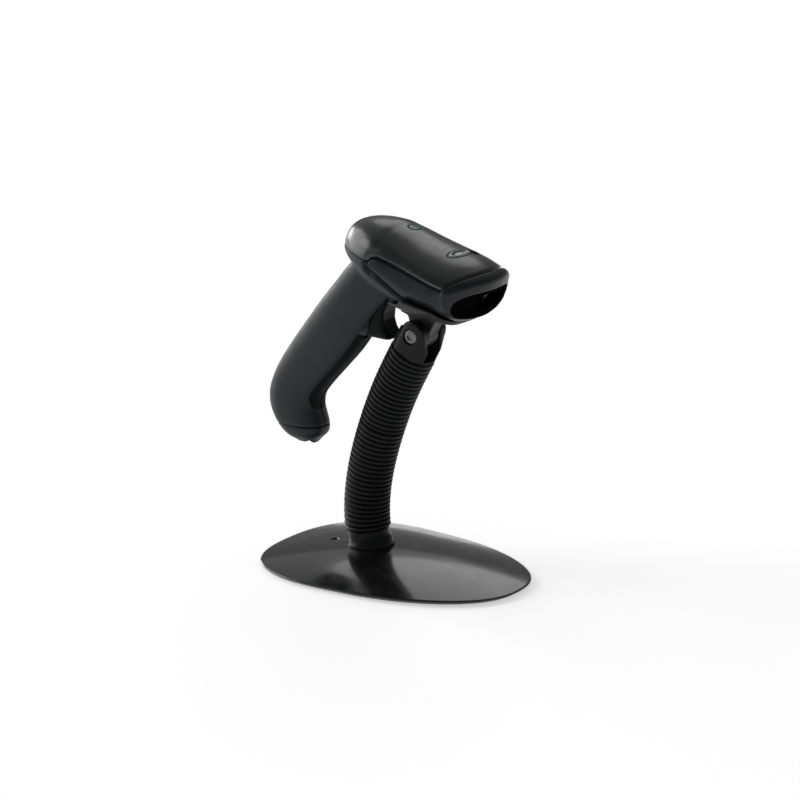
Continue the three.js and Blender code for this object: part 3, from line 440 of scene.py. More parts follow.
# ------------------------------------------------------------------ materials
def material(name, base, rough, grain=0.0, grain_mm=0.35, rough_var=0.08, tint=0.12, wear_and_glint=0.5, wear_and_glint_rgb=(0.16, 0.165, 0.17),
             metallic=0.0, coat=0.0, coat_rough=0.08, spec=0.5, large_mm=38.0, bump_mm=0.02, brushed=None, transmission=0.0,
             ior=1.5, edge_mm=0.5, scratch=0.0):
    """Moulded or metal surface: slow colour drift, roughness patches, fine grain bump, paler worn edges and faint
    scratches; where the edge colour is near white, as on the indicator lens and its rim, the paler edges are a painted
    highlight.
    """
    m = bpy.data.materials.new(name)
    m.use_nodes = True
    nt = m.node_tree
    N, L = nt.nodes, nt.links
    bs = N["Principled BSDF"]
    bs.inputs["Metallic"].default_value = metallic
    bs.inputs["Coat Weight"].default_value = coat
    bs.inputs["Coat Roughness"].default_value = coat_rough
    bs.inputs["Specular IOR Level"].default_value = spec
    bs.inputs["Transmission Weight"].default_value = transmission
    bs.inputs["IOR"].default_value = ior
    tc = N.new("ShaderNodeTexCoord")

    def noise(scale_mm, detail=3.0, rough_=0.55, stretch=None):
        n = N.new("ShaderNodeTexNoise")
        n.inputs["Scale"].default_value = 1000.0 / scale_mm
        n.inputs["Detail"].default_value = detail
        n.inputs["Roughness"].default_value = rough_
        if stretch:
            mp = N.new("ShaderNodeMapping")
            mp.inputs["Scale"].default_value = stretch
            L.new(tc.outputs["Object"], mp.inputs["Vector"])
            L.new(mp.outputs["Vector"], n.inputs["Vector"])
        else:
            L.new(tc.outputs["Object"], n.inputs["Vector"])
        return n.outputs["Fac"]

    def ramp(src, a, b, lo=0.3, hi=0.7):
        r = N.new("ShaderNodeMapRange")
        r.inputs["From Min"].default_value, r.inputs["From Max"].default_value = lo, hi
        r.inputs["To Min"].default_value, r.inputs["To Max"].default_value = a, b
        L.new(src, r.inputs["Value"])
        return r.outputs["Result"]

    def mix(fac, a, b, mode="MIX"):
        x = N.new("ShaderNodeMix")
        x.data_type = "RGBA"
        x.blend_type = mode
        if isinstance(fac, float):
            x.inputs["Factor"].default_value = fac
        else:
            L.new(fac, x.inputs["Factor"])
        for key, val in (("A", a), ("B", b)):
            if isinstance(val, tuple):
                x.inputs[key].default_value = (*val, 1)
            else:
                L.new(val, x.inputs[key])
        return x.outputs["Result"]

    big_n = noise(large_mm, 4.0, 0.6)
    mid_n = noise(large_mm / 6, 3.0, 0.6)
    dark = tuple(c * (1 - tint) for c in base)
    pale = tuple(min(1, c * (1 + tint) + 0.002) for c in base)
    col = mix(ramp(big_n, 0.0, 1.0), dark, pale)
    # worn, slightly paler edges, broken up by noise; with a near-white edge colour, as on the indicator lens and its
    # rim, they are a painted highlight
    geo = N.new("ShaderNodeNewGeometry")
    bev = N.new("ShaderNodeBevel")
    bev.samples = 4
    bev.inputs["Radius"].default_value = edge_mm * 0.001
    dot = N.new("ShaderNodeVectorMath"); dot.operation = "DOT_PRODUCT"
    L.new(bev.outputs["Normal"], dot.inputs[0]); L.new(geo.outputs["Normal"], dot.inputs[1])
    edge = ramp(dot.outputs["Value"], wear_and_glint, 0.0, 0.90, 0.995)
    mul = N.new("ShaderNodeMath"); mul.operation = "MULTIPLY"; mul.use_clamp = True
    L.new(edge, mul.inputs[0]); L.new(ramp(noise(5.0, 4.0, 0.65), 0.15, 1.1, 0.38, 0.66), mul.inputs[1])
    col = mix(mul.outputs["Value"], col, tuple(wear_and_glint_rgb))
    # settled dust and hand marks, very faint
    col = mix(ramp(mid_n, 0.0, 0.10, 0.5, 0.8), col, tuple(min(1, c + 0.05) for c in base))
    L.new(col, bs.inputs["Base Color"])
    r1 = ramp(mid_n, rough - rough_var, rough + rough_var)
    add = N.new("ShaderNodeMath"); add.operation = "ADD"; add.use_clamp = True
    L.new(r1, add.inputs[0]); L.new(ramp(big_n, -rough_var * 0.6, rough_var * 0.6), add.inputs[1])
    L.new(add.outputs["Value"], bs.inputs["Roughness"])
    last = None
    def bump(src, strength, mm):
        nonlocal last
        b = N.new("ShaderNodeBump")
        b.inputs["Strength"].default_value = strength
        b.inputs["Distance"].default_value = mm * 0.001
        L.new(src, b.inputs["Height"])
        if last is not None:
            L.new(last, b.inputs["Normal"])
        last = b.outputs["Normal"]
    if grain:
        v = N.new("ShaderNodeTexVoronoi")
        v.inputs["Scale"].default_value = 1000.0 / grain_mm
        L.new(tc.outputs["Object"], v.inputs["Vector"])
        bump(v.outputs["Distance"], grain, bump_mm)
        bump(noise(grain_mm * 3.2, 2.0, 0.5), grain * 0.6, bump_mm * 1.4)
    if brushed:
        bump(noise(0.5, 2.0, 0.6, brushed), 0.35, 0.012)
    if scratch:
        bump(ramp(noise(3.0, 5.0, 0.75, (1.0, 5.0, 0.6)), 0.0, 1.0, 0.62, 0.66), scratch, 0.006)
    bump(noise(22.0, 2.0, 0.5), 0.5, 0.05)
    L.new(last, bs.inputs["Normal"])
    return m


SHELL = material("satin_moulded_grip", (0.016, 0.0175, 0.0195), 0.44, grain=0.55, grain_mm=0.42, rough_var=0.05, wear_and_glint=0.25,
                 wear_and_glint_rgb=(0.10, 0.105, 0.11), coat=0.0, spec=0.24)
COVER = material("semi_gloss_cover", (0.009, 0.0102, 0.0115), 0.27, grain=0.16, grain_mm=0.3, rough_var=0.045, wear_and_glint=0.25,
                 wear_and_glint_rgb=(0.09, 0.095, 0.10), coat=0.25, coat_rough=0.16, scratch=0.12, spec=0.42)
BEZEL = material("nose_bezel_plastic", (0.013, 0.0143, 0.0158), 0.36, grain=0.3, grain_mm=0.35, rough_var=0.06, wear_and_glint=0.35,
                 wear_and_glint_rgb=(0.10, 0.105, 0.11), spec=0.2)
# near-black, dull material: painted shade inside the nose's throat and on the dark spot beside the indicator window
PAINTED_SHADE_BLACK = material("painted_shade_black", (0.0025, 0.0025, 0.003), 0.62, grain=0.6, grain_mm=0.5, wear_and_glint=0.1, wear_and_glint_rgb=(0.03, 0.03, 0.03), spec=0.1)
# paler strip on the butt's front corner facet: the paler colour is a painted highlight, the high specular makes it
# shine
FACET_PAINTED_HIGHLIGHT = material("painted_highlight_butt_facet", (0.034, 0.036, 0.038), 0.24, grain=0.2, grain_mm=0.35, rough_var=0.05, wear_and_glint=0.4,
                 wear_and_glint_rgb=(0.16, 0.165, 0.17), spec=1.0)
# darker, duller strip for the grip's front: the darker colour is painted shade, the roughness and low specular make it
# matt
FRONT_PAINTED_SHADE = material("painted_shade_grip_front", (0.006, 0.0068, 0.0075), 0.62, grain=0.9, grain_mm=0.45, rough_var=0.08, wear_and_glint=0.2,
                wear_and_glint_rgb=(0.05, 0.052, 0.055), spec=0.06)
TRIGGER = material("trigger_plastic", (0.005, 0.006, 0.0062), 0.42, grain=0.3, grain_mm=0.35, rough_var=0.08, wear_and_glint=0.5,
                   wear_and_glint_rgb=(0.09, 0.095, 0.10), spec=0.07)
BOLT = material("blackened_bolt_steel", (0.16, 0.16, 0.165), 0.40, metallic=1.0, rough_var=0.1, wear_and_glint=0.5, wear_and_glint_rgb=(0.38, 0.38, 0.38),
                scratch=0.4)
CUP = material("cradle_plastic", (0.012, 0.0115, 0.0135), 0.42, grain=0.4, grain_mm=0.4, rough_var=0.07, wear_and_glint=0.4,
               wear_and_glint_rgb=(0.10, 0.10, 0.11), spec=0.26)
RIBS = material("ribbed_sleeve_vinyl", (0.006, 0.0064, 0.007), 0.46, grain=0.35, grain_mm=0.5, rough_var=0.07, wear_and_glint=0.35,
                wear_and_glint_rgb=(0.035, 0.036, 0.038), edge_mm=0.4, spec=0.16)
COLLAR = material("collar_plastic", (0.007, 0.0074, 0.008), 0.36, grain=0.2, grain_mm=0.4, wear_and_glint=0.3, wear_and_glint_rgb=(0.05, 0.05, 0.052), spec=0.14)
GLOSS = material("polished_base_plastic", (0.006, 0.0064, 0.007), 0.20, grain=0.0, rough_var=0.05, tint=0.2, wear_and_glint=0.25,
                 wear_and_glint_rgb=(0.05, 0.052, 0.055), coat=0.4, coat_rough=0.07, large_mm=60, scratch=0.2)
RUBBER = material("rubber_pad", (0.012, 0.012, 0.0125), 0.78, grain=0.7, grain_mm=0.7, wear_and_glint=0.2, wear_and_glint_rgb=(0.04, 0.04, 0.04))
STEEL = material("zinc_plated_steel", (0.34, 0.34, 0.35), 0.36, metallic=1.0, wear_and_glint=0.3, wear_and_glint_rgb=(0.8, 0.8, 0.8), tint=0.1,
                 brushed=(1.0, 1.0, 8.0), rough_var=0.08, large_mm=6)
BRASS = material("turned_brass", (0.60, 0.44, 0.20), 0.30, metallic=1.0, wear_and_glint=0.3, wear_and_glint_rgb=(0.8, 0.65, 0.4), brushed=(1, 8, 1), large_mm=6)
IRON = material("raw_cast_weight", (0.10, 0.10, 0.105), 0.6, metallic=0.9, grain=0.8, grain_mm=1.2, bump_mm=0.1, wear_and_glint=0.4)
BOARD = material("solder_resist", (0.02, 0.12, 0.05), 0.35, grain=0.2, grain_mm=1.0, wear_and_glint=0.3, wear_and_glint_rgb=(0.4, 0.35, 0.2))
DARK = material("black_moulding", (0.010, 0.010, 0.011), 0.5, grain=0.4, grain_mm=0.5, wear_and_glint=0.3, wear_and_glint_rgb=(0.05, 0.05, 0.05))
TEAL = material("printed_teal_inlay", (0.004, 0.10, 0.165), 0.36, grain=0.1, grain_mm=0.3, rough_var=0.04, wear_and_glint=0.2,
                wear_and_glint_rgb=(0.05, 0.25, 0.34), coat=0.5, coat_rough=0.1, large_mm=5, spec=0.25)
# the lens's near-white edge colour is a painted highlight along the window's edges
LENS = material("smoked_clear_lens", (0.045, 0.048, 0.050), 0.22, rough_var=0.05, wear_and_glint=0.5, wear_and_glint_rgb=(0.75, 0.78, 0.8), coat=0.6,
                coat_rough=0.06, large_mm=8, tint=0.25)
# pale grey rim colour: a painted highlight standing for the glint along the window's raised rim
RIM_PAINTED_HIGHLIGHT = material("painted_highlight_lens_rim", (0.22, 0.235, 0.24), 0.24, rough_var=0.05, wear_and_glint=0.6, wear_and_glint_rgb=(0.7, 0.73, 0.74), coat=0.5, coat_rough=0.08,
               large_mm=6, tint=0.25)
WINDOW = material("dark_red_filter", (0.006, 0.0016, 0.0026), 0.12, rough_var=0.03, wear_and_glint=0.3, wear_and_glint_rgb=(0.2, 0.03, 0.04), coat=1.0,
                  coat_rough=0.03, large_mm=20, spec=0.3)
MIRROR = material("front_mirror", (0.88, 0.9, 0.91), 0.06, metallic=1.0, rough_var=0.02, wear_and_glint=0.2, wear_and_glint_rgb=(0.6, 0.6, 0.6))

NODE_MAT = {}
for _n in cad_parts:
    _m = DARK
    if _n.startswith(("neck_core", "base_screw", "housing_screw")) or _n in (
            "neck_stub", "neck_nut", "neck_ferrule", "hinge_bolt", "hinge_nut", "trigger_pin", "trigger_spring"):
        _m = STEEL
    elif _n in ("hinge_washer_right", "hinge_washer_left", "laser_module"):
        _m = BRASS
    elif _n == "base_weight":
        _m = IRON
    elif _n in ("rubber_foot_pad", "window_gasket"):
        _m = RUBBER
    elif _n == "main_board":
        _m = BOARD
    elif _n in ("scan_mirror", "collector_mirror"):
        _m = MIRROR
    elif _n == "indicator_led":
        _m = LENS
    elif _n == "scan_window":
        _m = WINDOW
    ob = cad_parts[_n]
    ob.data.materials.clear()
    ob.data.materials.append(_m)

# ------------------------------------------------------------------ shared head fields
CHIN = np.array([[-23.2, 50.0], [-20.9, 58.5], [-19.3, 63.0], [-16.8, 66.0], [-12.8, 69.0], [-6.5, 71.5], [4.0, 74.0], [40.0, 80.0]])
ARM = [(-4.2, -1.6), (-3.2, 1.4), (-1.2, 3.4), (3.0, 4.1), (13.0, 3.6), (23.3, 2.9), (34.6, 1.8), (44.7, 0.9), (53.0, 0.4), (75.0, 0.3),
       (75.0, -21.5), (49.0, -19.6), (40.0, -17.4), (33.0, -15.6), (24.0, -13.0), (19.0, -11.2), (12.7, -9.0), (6.4, -6.6), (-0.7, -4.2), (-3.4, -3.2)]
ARM_R = round_poly(ARM, 2.4, 3)
FLARE = np.array([
    [44.0, 28.6, -9.6, 7.6, 8.0, 3.4, 3.0],
    [50.6, 28.6, -9.6, 7.6, 8.0, 3.4, 3.0],
    [58.0, 30.8, -8.6, 8.6, 9.2, 2.8, 2.5],
    [66.0, 32.4, -7.4, 8.9, 10.6, 2.4, 2.3],
    [73.0, 33.2, -6.6, 8.8, 11.6, 2.25, 2.25],
])


def mid_u(Q):
    return Q[:, 0] + BOW * (np.minimum(np.abs(Q[:, 1]), 40) / 35) ** 2


def split_u(Q):
    return Q[:, 0] + SPLIT_BOW * (np.minimum(np.abs(Q[:, 1]), 40) / 35) ** 2


def chin_d(Q):
    return (mid_u(Q) - np.interp(Q[:, 2], CHIN[:, 0], CHIN[:, 1])) * 0.8


def flare_d(Q):
    p = [np.interp(Q[:, 0], FLARE[:, 0], FLARE[:, k]) for k in range(1, 7)]
    up = Q[:, 2] > p[1]
    h = np.where(up, p[2], p[3]); n = np.where(up, p[4], p[5])
    a, b = np.abs(Q[:, 1]) / p[0], np.abs(Q[:, 2] - p[1]) / h
    r = np.maximum((a ** n + b ** n), 1e-9) ** (1 / n)
    ga = (a / np.maximum(r, 1e-6)) ** (n - 1) / p[0]; gb = (b / np.maximum(r, 1e-6)) ** (n - 1) / h
    return (r - 1) / np.maximum(np.hypot(ga, gb), 0.02)


def bump01(x, w):
    """1 at 0, smoothly 0 from w outwards."""
    t = np.clip(1 - np.abs(x) / w, 0, 1)
    return t * t * (3 - 2 * t)


def leaf(Q):
    """Signed distance to the side arm's outline, in the head's side view."""
    return poly(ARM_R, Q[:, 0], Q[:, 2])


def ridge(u):
    """The line where the arm's surface turns from facing slightly up to facing slightly down."""
    return np.interp(u, [-4, 3.7, 12.1, 22.6, 32.6, 42, 54, 64], [-1.4, -2.4, -4.4, -7.0, -7.7, -8.3, -8.6, -8.8])


# ------------------------------------------------------------------ top cover
LENS_AT, NOTCH_AT, INLAY_AT = (41.0, 1.0, 3.4, 11.4), (42.0, 16.4, 3.3, 3.9), (4.4, 4.5, 3.0, 5.6)


def in_ellipse(Q, u, v, a, b, grow=0.0):
    return (np.sqrt(((Q[:, 0] - u) / (a + grow)) ** 2 + ((Q[:, 1] - v) / (b + grow)) ** 2) - 1) * (a + grow)


def f_cover(P):
    Q = to_head(P)
    d = head_d(P)
    du = split_u(Q) - (SPLIT_U + 0.15)
    lf = leaf(Q)
    far = np.abs(Q[:, 1]) > 8
    d = d + 1.0 * bump01(du, 1.6)                                      # chamfer along the front edge
    d = d + 0.45 * bump01(Q[:, 2], 1.0) * (Q[:, 0] < -2)               # along the seam
    d = d + 1.7 * bump01(lf - 0.5, 2.3) * far                         # and deeper round the side arm
    f = smax(d, -(d + WALL), 0.3)
    f = smax(f, 0.15 - Q[:, 2], 0.35)
    f = smax(f, split_u(Q) - SPLIT_U, 0.35)
    f = smax(f, np.where(far, 0.3 - lf, -9.0), 0.4)
    f = smax(f, -smin(in_ellipse(Q, *LENS_AT, 0.3), in_ellipse(Q, *NOTCH_AT, 0.3), 0.6), 0.5)
    f = smax(f, -in_ellipse(Q, *INLAY_AT, 0.3), 0.4)
    return f


def paint_inside(ob, test, mat):
    """Faces where test(centres in mm) holds take a second material."""
    ob.data.materials.append(mat)
    index = len(ob.data.materials) - 1
    now = np.empty(len(ob.data.polygons), np.int32)
    ob.data.polygons.foreach_get("material_index", now)
    n = len(ob.data.polygons)
    c = np.empty(n * 3)
    ob.data.polygons.foreach_get("center", c)
    ob.data.polygons.foreach_set("material_index", np.where(test(c.reshape(-1, 3) * 1000), index, now).astype(np.int32))


# ------------------------------------------------------------------ lower housing, right and left halves
SCREWS = [(-36.5, 180.5, 15.2), (-59.5, 154.5, 15.4), (-86.5, 113.0, 14.5)]
SLOT = [(-24.9, 148.9), (8, 148.9), (8, 176.8), (-3.8, 176.8), (-3.8, 187), (-16, 187), (-18.6, 179), (-20.6, 168), (-24.0, 157.4)]


def facet_of(P):
    return (P[:, 0] + 58.6) * 0.60 + (np.abs(P[:, 1]) - 12.0) * 0.80 + (P[:, 2] - 92) * 0.03


# faces of the butt facet that take the paler strip of painted highlight
def on_painted_highlight_facet(P):
    return (np.abs(facet_of(P) - 0.2) < 0.22) & (P[:, 2] > 80) & (P[:, 2] < 101.5) & (np.abs(P[:, 1]) < 15)


def on_painted_shade_front(P):
    """Where the darker, duller strip goes down the front of the grip, from under the trigger to the butt: its darker
    colour is painted shade.
    """
    c = dist(grip_g, P)
    e = 0.8
    gx = dist(grip_g, P + np.array([e, 0, 0])) - dist(grip_g, P - np.array([e, 0, 0]))
    gy = dist(grip_g, P + np.array([0, e, 0])) - dist(grip_g, P - np.array([0, e, 0]))
    gz = dist(grip_g, P + np.array([0, 0, e])) - dist(grip_g, P - np.array([0, 0, e]))
    n = np.sqrt(gx * gx + gy * gy + gz * gz) + 1e-9
    return (c > -1.2) & ((gx - 0.55 * gz) / n > 0.84) & (P[:, 0] > -66) & (P[:, 2] < 151) & (P[:, 2] > 86)


def grip_skin(P):
    """The grip's outer skin with the shallow facet along the butt's front corner on each side."""
    d = grip_d(P) + 0.45 * smooth01((-86 - P[:, 0]) / 9)
    facet = facet_of(P)
    on = smooth01((P[:, 2] - 76) / 5) * (1 - smooth01((P[:, 2] - 99) / 6))
    return np.where(on > 0, smax(d, facet - 14 * (1 - on) - 0.2, 0.5), d)


def f_housing(side):
    def f(P):
        Q = to_head(P)
        h, g = head_d(P), grip_skin(P)
        lf = leaf(Q)
        on_side = smooth01((np.abs(Q[:, 1]) - 6) / 4)
        back_end = 1 - smooth01((Q[:, 0] + 1) / 6)
        h = h + (1.6 + 0.5 * back_end) * bump01(lf - 0.4, 2.2 + 1.2 * back_end) * on_side   # groove round the arm
        h = h + 0.45 * bump01(Q[:, 2], 1.0) * (Q[:, 0] < -2)
        d = smin(h, g, 5.0)
        d = d + 0.28 * bump01(P[:, 1], 0.75)                            # the halves' parting line
        d = d + 0.4 * bump01(P[:, 2] - BUTT_Z, 0.9) * (P[:, 2] < 100)
        f = smax(d, -(d + WALL), 0.3)
        f = smax(f, Q[:, 2] + 0.15, 0.3)
        f = smax(f, np.where(np.abs(Q[:, 1]) > 8, -lf + 0.25, -9.0), 0.4)
        f = smax(f, split_u(Q) - SPLIT_U, 0.3)
        f = smax(f, chin_d(Q) + 0.5, 0.4)
        f = smax(f, BUTT_Z + 0.15 - P[:, 2], 0.3)
        slot = smax(poly(SLOT, P[:, 0], P[:, 2]), np.abs(P[:, 1]) - (TRIG_HALF + 0.4), 0.3)
        f = smax(f, -slot, 0.9)
        # window of the trigger well: a wall between the well and the hollow grip
        well = smax(smax(slot - 1.6, -slot + 0.05, 0.2), d + 0.8, 0.4)
        f = smin(f, well, 0.4)
        if side > 0:
            for x, z, hw in SCREWS:
                seat = smax(np.hypot(P[:, 0] - x, P[:, 2] - z) - 4.6, (hw - 5.0) - P[:, 1], 0.3)
                f = smin(f, smax(seat, d, 0.3), 0.3)
                f = smax(f, -smax(np.hypot(P[:, 0] - x, P[:, 2] - z) - 3.1, (hw - 4.7) - P[:, 1], 0.2), 0.45)
        return smax(f, (0.15 - P[:, 1]) if side > 0 else (P[:, 1] + 0.15), 0.3)
    return f


def f_cap(P):
    d = grip_skin(P) + 0.4 * bump01(P[:, 2] - BUTT_Z, 0.9)
    d = d + 0.2 * bump01(P[:, 1], 0.6) * 0
    f = smax(d, -(d + WALL + 0.6), 0.4)
    f = smax(f, P[:, 2] - (BUTT_Z - 0.15), 0.3)
    jack = np.maximum(np.maximum(np.abs(P[:, 0] + 72.5) - 6.1, np.abs(P[:, 1]) - 7.0), P[:, 2] - 80)
    return smax(f, -jack, 0.7)


# ------------------------------------------------------------------ nose bezel with the throat and the two side arms
def f_bezel(P):
    Q = to_head(P)
    d = head_d(P)
    mu = mid_u(Q)
    lf = leaf(Q)
    band = smax(d + 1.0 * bump01(split_u(Q) - (SPLIT_U + 0.15), 1.6), mu - NOSE_U, 3.4)
    band = smax(band, chin_d(Q), 1.6)
    band = smax(band, (SPLIT_U + 0.3) - split_u(Q), 0.3)
    fl = flare_d(Q)
    # a rolled lip round the mouth, a little behind the front face
    lip = np.clip((mu - 62) / 8, 0, 1)
    tube = smax(smax(fl - 1.7, d + 2.55, 0.3), np.maximum(45.0 - Q[:, 0], split_u(Q) - (SPLIT_U + 2)), 0.3)
    # arms, their surface creased along the ridge
    r = ridge(Q[:, 0])
    above, below = np.clip(Q[:, 2] - r, 0, 9), np.clip(r - Q[:, 2], 0, 12)
    fade = 1 - smooth01((Q[:, 0] - 44) / 16)
    skin = d + 0.3 + (0.11 * above ** 1.2 + 0.14 * below ** 1.2) * fade - 0.35 * fade
    skin = skin + 1.2 * bump01(lf + 0.1, 1.4)
    arm = smax(skin, -(skin + 1.7), 0.3)
    arm = smax(arm, lf + 0.1, 0.5)
    arm = smax(arm, split_u(Q) - (SPLIT_U + 0.8), 0.4)
    arm = np.where(np.abs(Q[:, 1]) > 6, arm, 9.0)
    f = smin(smin(band, tube, 0.6), smax(arm, chin_d(Q), 0.5), 0.8)
    f = smax(f, -smax(fl - 0.0, 50.6 - Q[:, 0], 0.3) - 1.1 * np.clip((mu - 66.5) / 3.0, 0, 1.2), 0.9)
    pocket = smax(((np.maximum((np.abs(Q[:, 1]) / 29.4) ** 3.4 + (np.abs(Q[:, 2] + 10) / 8.6) ** 3.4, 1e-9)) ** (1 / 3.4) - 1) * 8.6,
                  np.maximum(Q[:, 0] - 51, 43.5 - Q[:, 0]), 0.2)
    return smax(f, -pocket, 0.3)


# ------------------------------------------------------------------ small parts of the head
def f_window_lens(P):
    """The indicator window: a raised rim round a sunken, darker pane (the rim's pale colour, a painted highlight, is
    given where the window is made).
    """
    Q = to_head(P)
    d = head_d(P)
    e = in_ellipse(Q, *LENS_AT)
    f = smax(d - 0.15 - 0.35 * bump01(e + 0.6, 0.9) + 0.4 * np.clip(-e - 1.0, 0, 1), -(d + 1.6), 0.3)
    return smax(f, e, 0.35)


def f_notch(P):
    Q = to_head(P)
    d = head_d(P)
    e = in_ellipse(Q, *NOTCH_AT)
    f = smax(d - 0.75 * bump01(e + 3.3, 3.6) - 0.05, -(d + 1.6), 0.4)
    return smax(f, e, 0.6)


def f_badge(P):
    Q = to_head(P)
    d = head_d(P)
    e = in_ellipse(Q, *INLAY_AT)
    f = smax(d - 0.12 + 0.1 * bump01(Q[:, 0] - 4.4, 0.35), -(d + 1.5), 0.2)
    return smax(f, e, 0.3)


# ------------------------------------------------------------------ trigger
TRIG = round_poly([(-21.4, 150.2), (-7.0, 149.6), (-4.2, 150.0), (-3.3, 151.8), (-4.4, 153.8), (-6.6, 157.0), (-7.9, 161.6), (-7.5, 166.6),
                   (-6.0, 171.2), (-5.2, 175.2), (-5.0, 182.6), (-8.0, 185.0), (-13.0, 184.2), (-15.8, 179.0), (-16.6, 168.0), (-20.4, 157.4)], 1.2, 4)


def f_trigger(P):
    y = np.abs(P[:, 1])
    dish = 1.1 * (1 - (np.minimum(y, 8.8) / 8.8) ** 2.4) * bump01(P[:, 2] - 163.5, 13)
    f = poly(TRIG, P[:, 0] + dish * (P[:, 0] > -14), P[:, 2])
    f = smax(f, y - TRIG_HALF, 4.6)
    return smax(f, -(np.hypot(P[:, 0] - TP[0], P[:, 2] - TP[1]) - 1.5), 0.3)


# ------------------------------------------------------------------ hinge fork, bolt and cradle
NP, ND, NN = np.array([9.6, 142.6]), np.array([0.480, 0.8773]), np.array([0.8773, -0.480])


def f_fork(P):
    qx, qz = P[:, 0] - NP[0], P[:, 2] - NP[1]
    s, n = qx * ND[0] + qz * ND[1], qx * NN[0] + qz * NN[1]
    y = P[:, 1]
    drum = np.hypot(n, y) - 14.5
    tri = [tuple(NP + ND - NN * 20), tuple(NP + ND + NN * 20), (PX + NN[0] * EAR_R, PZ + NN[1] * EAR_R),
           (PX - NN[0] * EAR_R * 1.45, PZ - NN[1] * EAR_R * 1.45)]
    ears = smin(np.hypot(P[:, 0] - PX, P[:, 2] - PZ) - EAR_R, poly(tri, P[:, 0], P[:, 2]), 2.2)
    f = smax(smax(drum, ears, 1.1), np.abs(y) - 13.6, 1.4)
    f = smax(f, 1.1 - s, 0.9)
    f = smax(f, -smax(np.abs(y) - 6.9, 3.4 - s, 0.8), 1.1)
    hyp = np.hypot(P[:, 0] - PX, P[:, 2] - PZ)
    f = smax(f, -(hyp - 2.7), 0.4)
    f = smax(f, -smax(hyp - 5.0, y + 11.2, 0.2), 0.6)
    f = smax(f, -smax(hexa(P[:, 0] - PX, P[:, 2] - PZ, 5.0 / 0.866), 11.2 - y, 0.2), 0.4)
    return smax(f, -smax(np.hypot(n, y) - 6.9, s - 2.5, 0.2), 0.4)


def f_bolt(P):
    y = P[:, 1]
    hyp = np.hypot(P[:, 0] - PX, P[:, 2] - PZ)
    head = smax(hyp - 4.5, np.maximum(-13.38 - y + 0.035 * hyp ** 2 * 0.8, y + 11.5), 0.8)
    shank = smax(hyp - 2.35, np.maximum(-12.0 - y, y - 13.3), 0.4)
    f = smin(head, shank, 0.2)
    return smax(f, -smax(hexa(P[:, 0] - PX, P[:, 2] - PZ, 2.6), y + 12.2, 0.2), 0.35)


CUP_SIDE = [(12, -44), (14, -20.5), (23, -18.6), (27, -14), (47, -14), (52, -17.4), (56, -20.6), (56, -44)]
STEM = round_poly([(PX - 5, PZ + 3), (PX + 8.4, PZ + 1), (PX + 16, 171), (PX + 24, 177), (PX + 14, 190), (3.4, 190), (4, 169.4), (9.4, 167.6)], 1.5, 3)
CUP_R = round_poly(CUP_SIDE, 2.2, 4)


def f_cradle(P):
    Q = to_head(P)
    d = head_d(P)
    hug = smax(d - 3.35, poly(CUP_R, Q[:, 0], Q[:, 2]), 1.4)
    hug = smax(hug, mid_u(Q) - 58, 1.2)
    y = np.abs(P[:, 1])
    stem = smax(poly(STEM, P[:, 0], P[:, 2]), y - 5.6, 0.9)
    knuckle = smax(np.hypot(P[:, 0] - PX, P[:, 2] - PZ) - 8.6, y - 5.6, 0.9)
    f = smin(smin(stem, knuckle, 1.0), hug, 2.6)
    f = smax(f, 0.55 - d, 0.5)
    f = smax(f, -(np.hypot(P[:, 0] - PX, P[:, 2] - PZ) - 2.7), 0.3)
    return f


# ------------------------------------------------------------------ base cover
def base_rho(x, y):
    rho = np.maximum(np.hypot(x / BASE_A, y / BASE_B), 1e-4)
    for _ in range(10):
        c = np.sign(x) * np.clip(np.abs(x) / (BASE_A * rho), 0, 1) ** (BASE_N / 2)
        rho = np.maximum(((np.abs(x) / BASE_A) ** BASE_N + (np.abs(y) / (BASE_B * (1 + BASE_EGG * c))) ** BASE_N) ** (1 / BASE_N), 1e-4)
    return rho


def dome_z(x, y):
    rho = base_rho(x, y)
    return BASE_RIM + BASE_DOME * np.clip(1 - rho * rho, 0, 1) ** 1.05


def f_base(P):
    x, y, z = P.T
    rho = base_rho(x, y)
    side = (rho - 1) * 66
    top = (z - (BASE_RIM + BASE_DOME * np.maximum(1 - rho * rho, -0.3) * 1.0 ** 1.05)) * 0.97
    top = (z - (BASE_RIM + BASE_DOME * np.sign(1 - rho * rho) * np.abs(1 - rho * rho) ** 1.05)) * 0.97
    o = smax(side, top, 1.0)
    o = smax(o, (side + 0.7) * 0.8 + (1.9 - z) * 0.8, 0.6)
    f = smax(o, -(o + 2.2), 0.4)
    f = smax(f, 0.8 - z, 0.3)
    hole = np.hypot(x + 52, y) - 2.6
    groove = np.maximum(np.abs(y) - 0.9, np.maximum(-52 - x, x + 41))
    return smax(f, -smin(hole, groove, 0.4), 0.8)

# ------------------------------------------------------------------ neck curve: through the link joints, with their tangents
FR = np.array([
    [-22.6, 12.0, -0.2240, 0.9746], [-25.096, 23.321, -0.1398, 0.9902], [-25.657, 41.294, 0.0670, 0.9978],
    [-23.293, 59.142, 0.1945, 0.9809], [-18.958, 76.623, 0.2831, 0.9591], [-13.348, 93.741, 0.3407, 0.9402],
    [-6.711, 110.488, 0.3959, 0.9183], [1.042, 126.747, 0.4614, 0.8872], [9.6, 142.6, 0.4800, 0.8773]])
NECK_LEN, NECK_STEP = 137.718, (137.718 - NECK_START) / LINKS
FS = np.concatenate([[0.0], NECK_START + NECK_STEP * np.arange(8)])


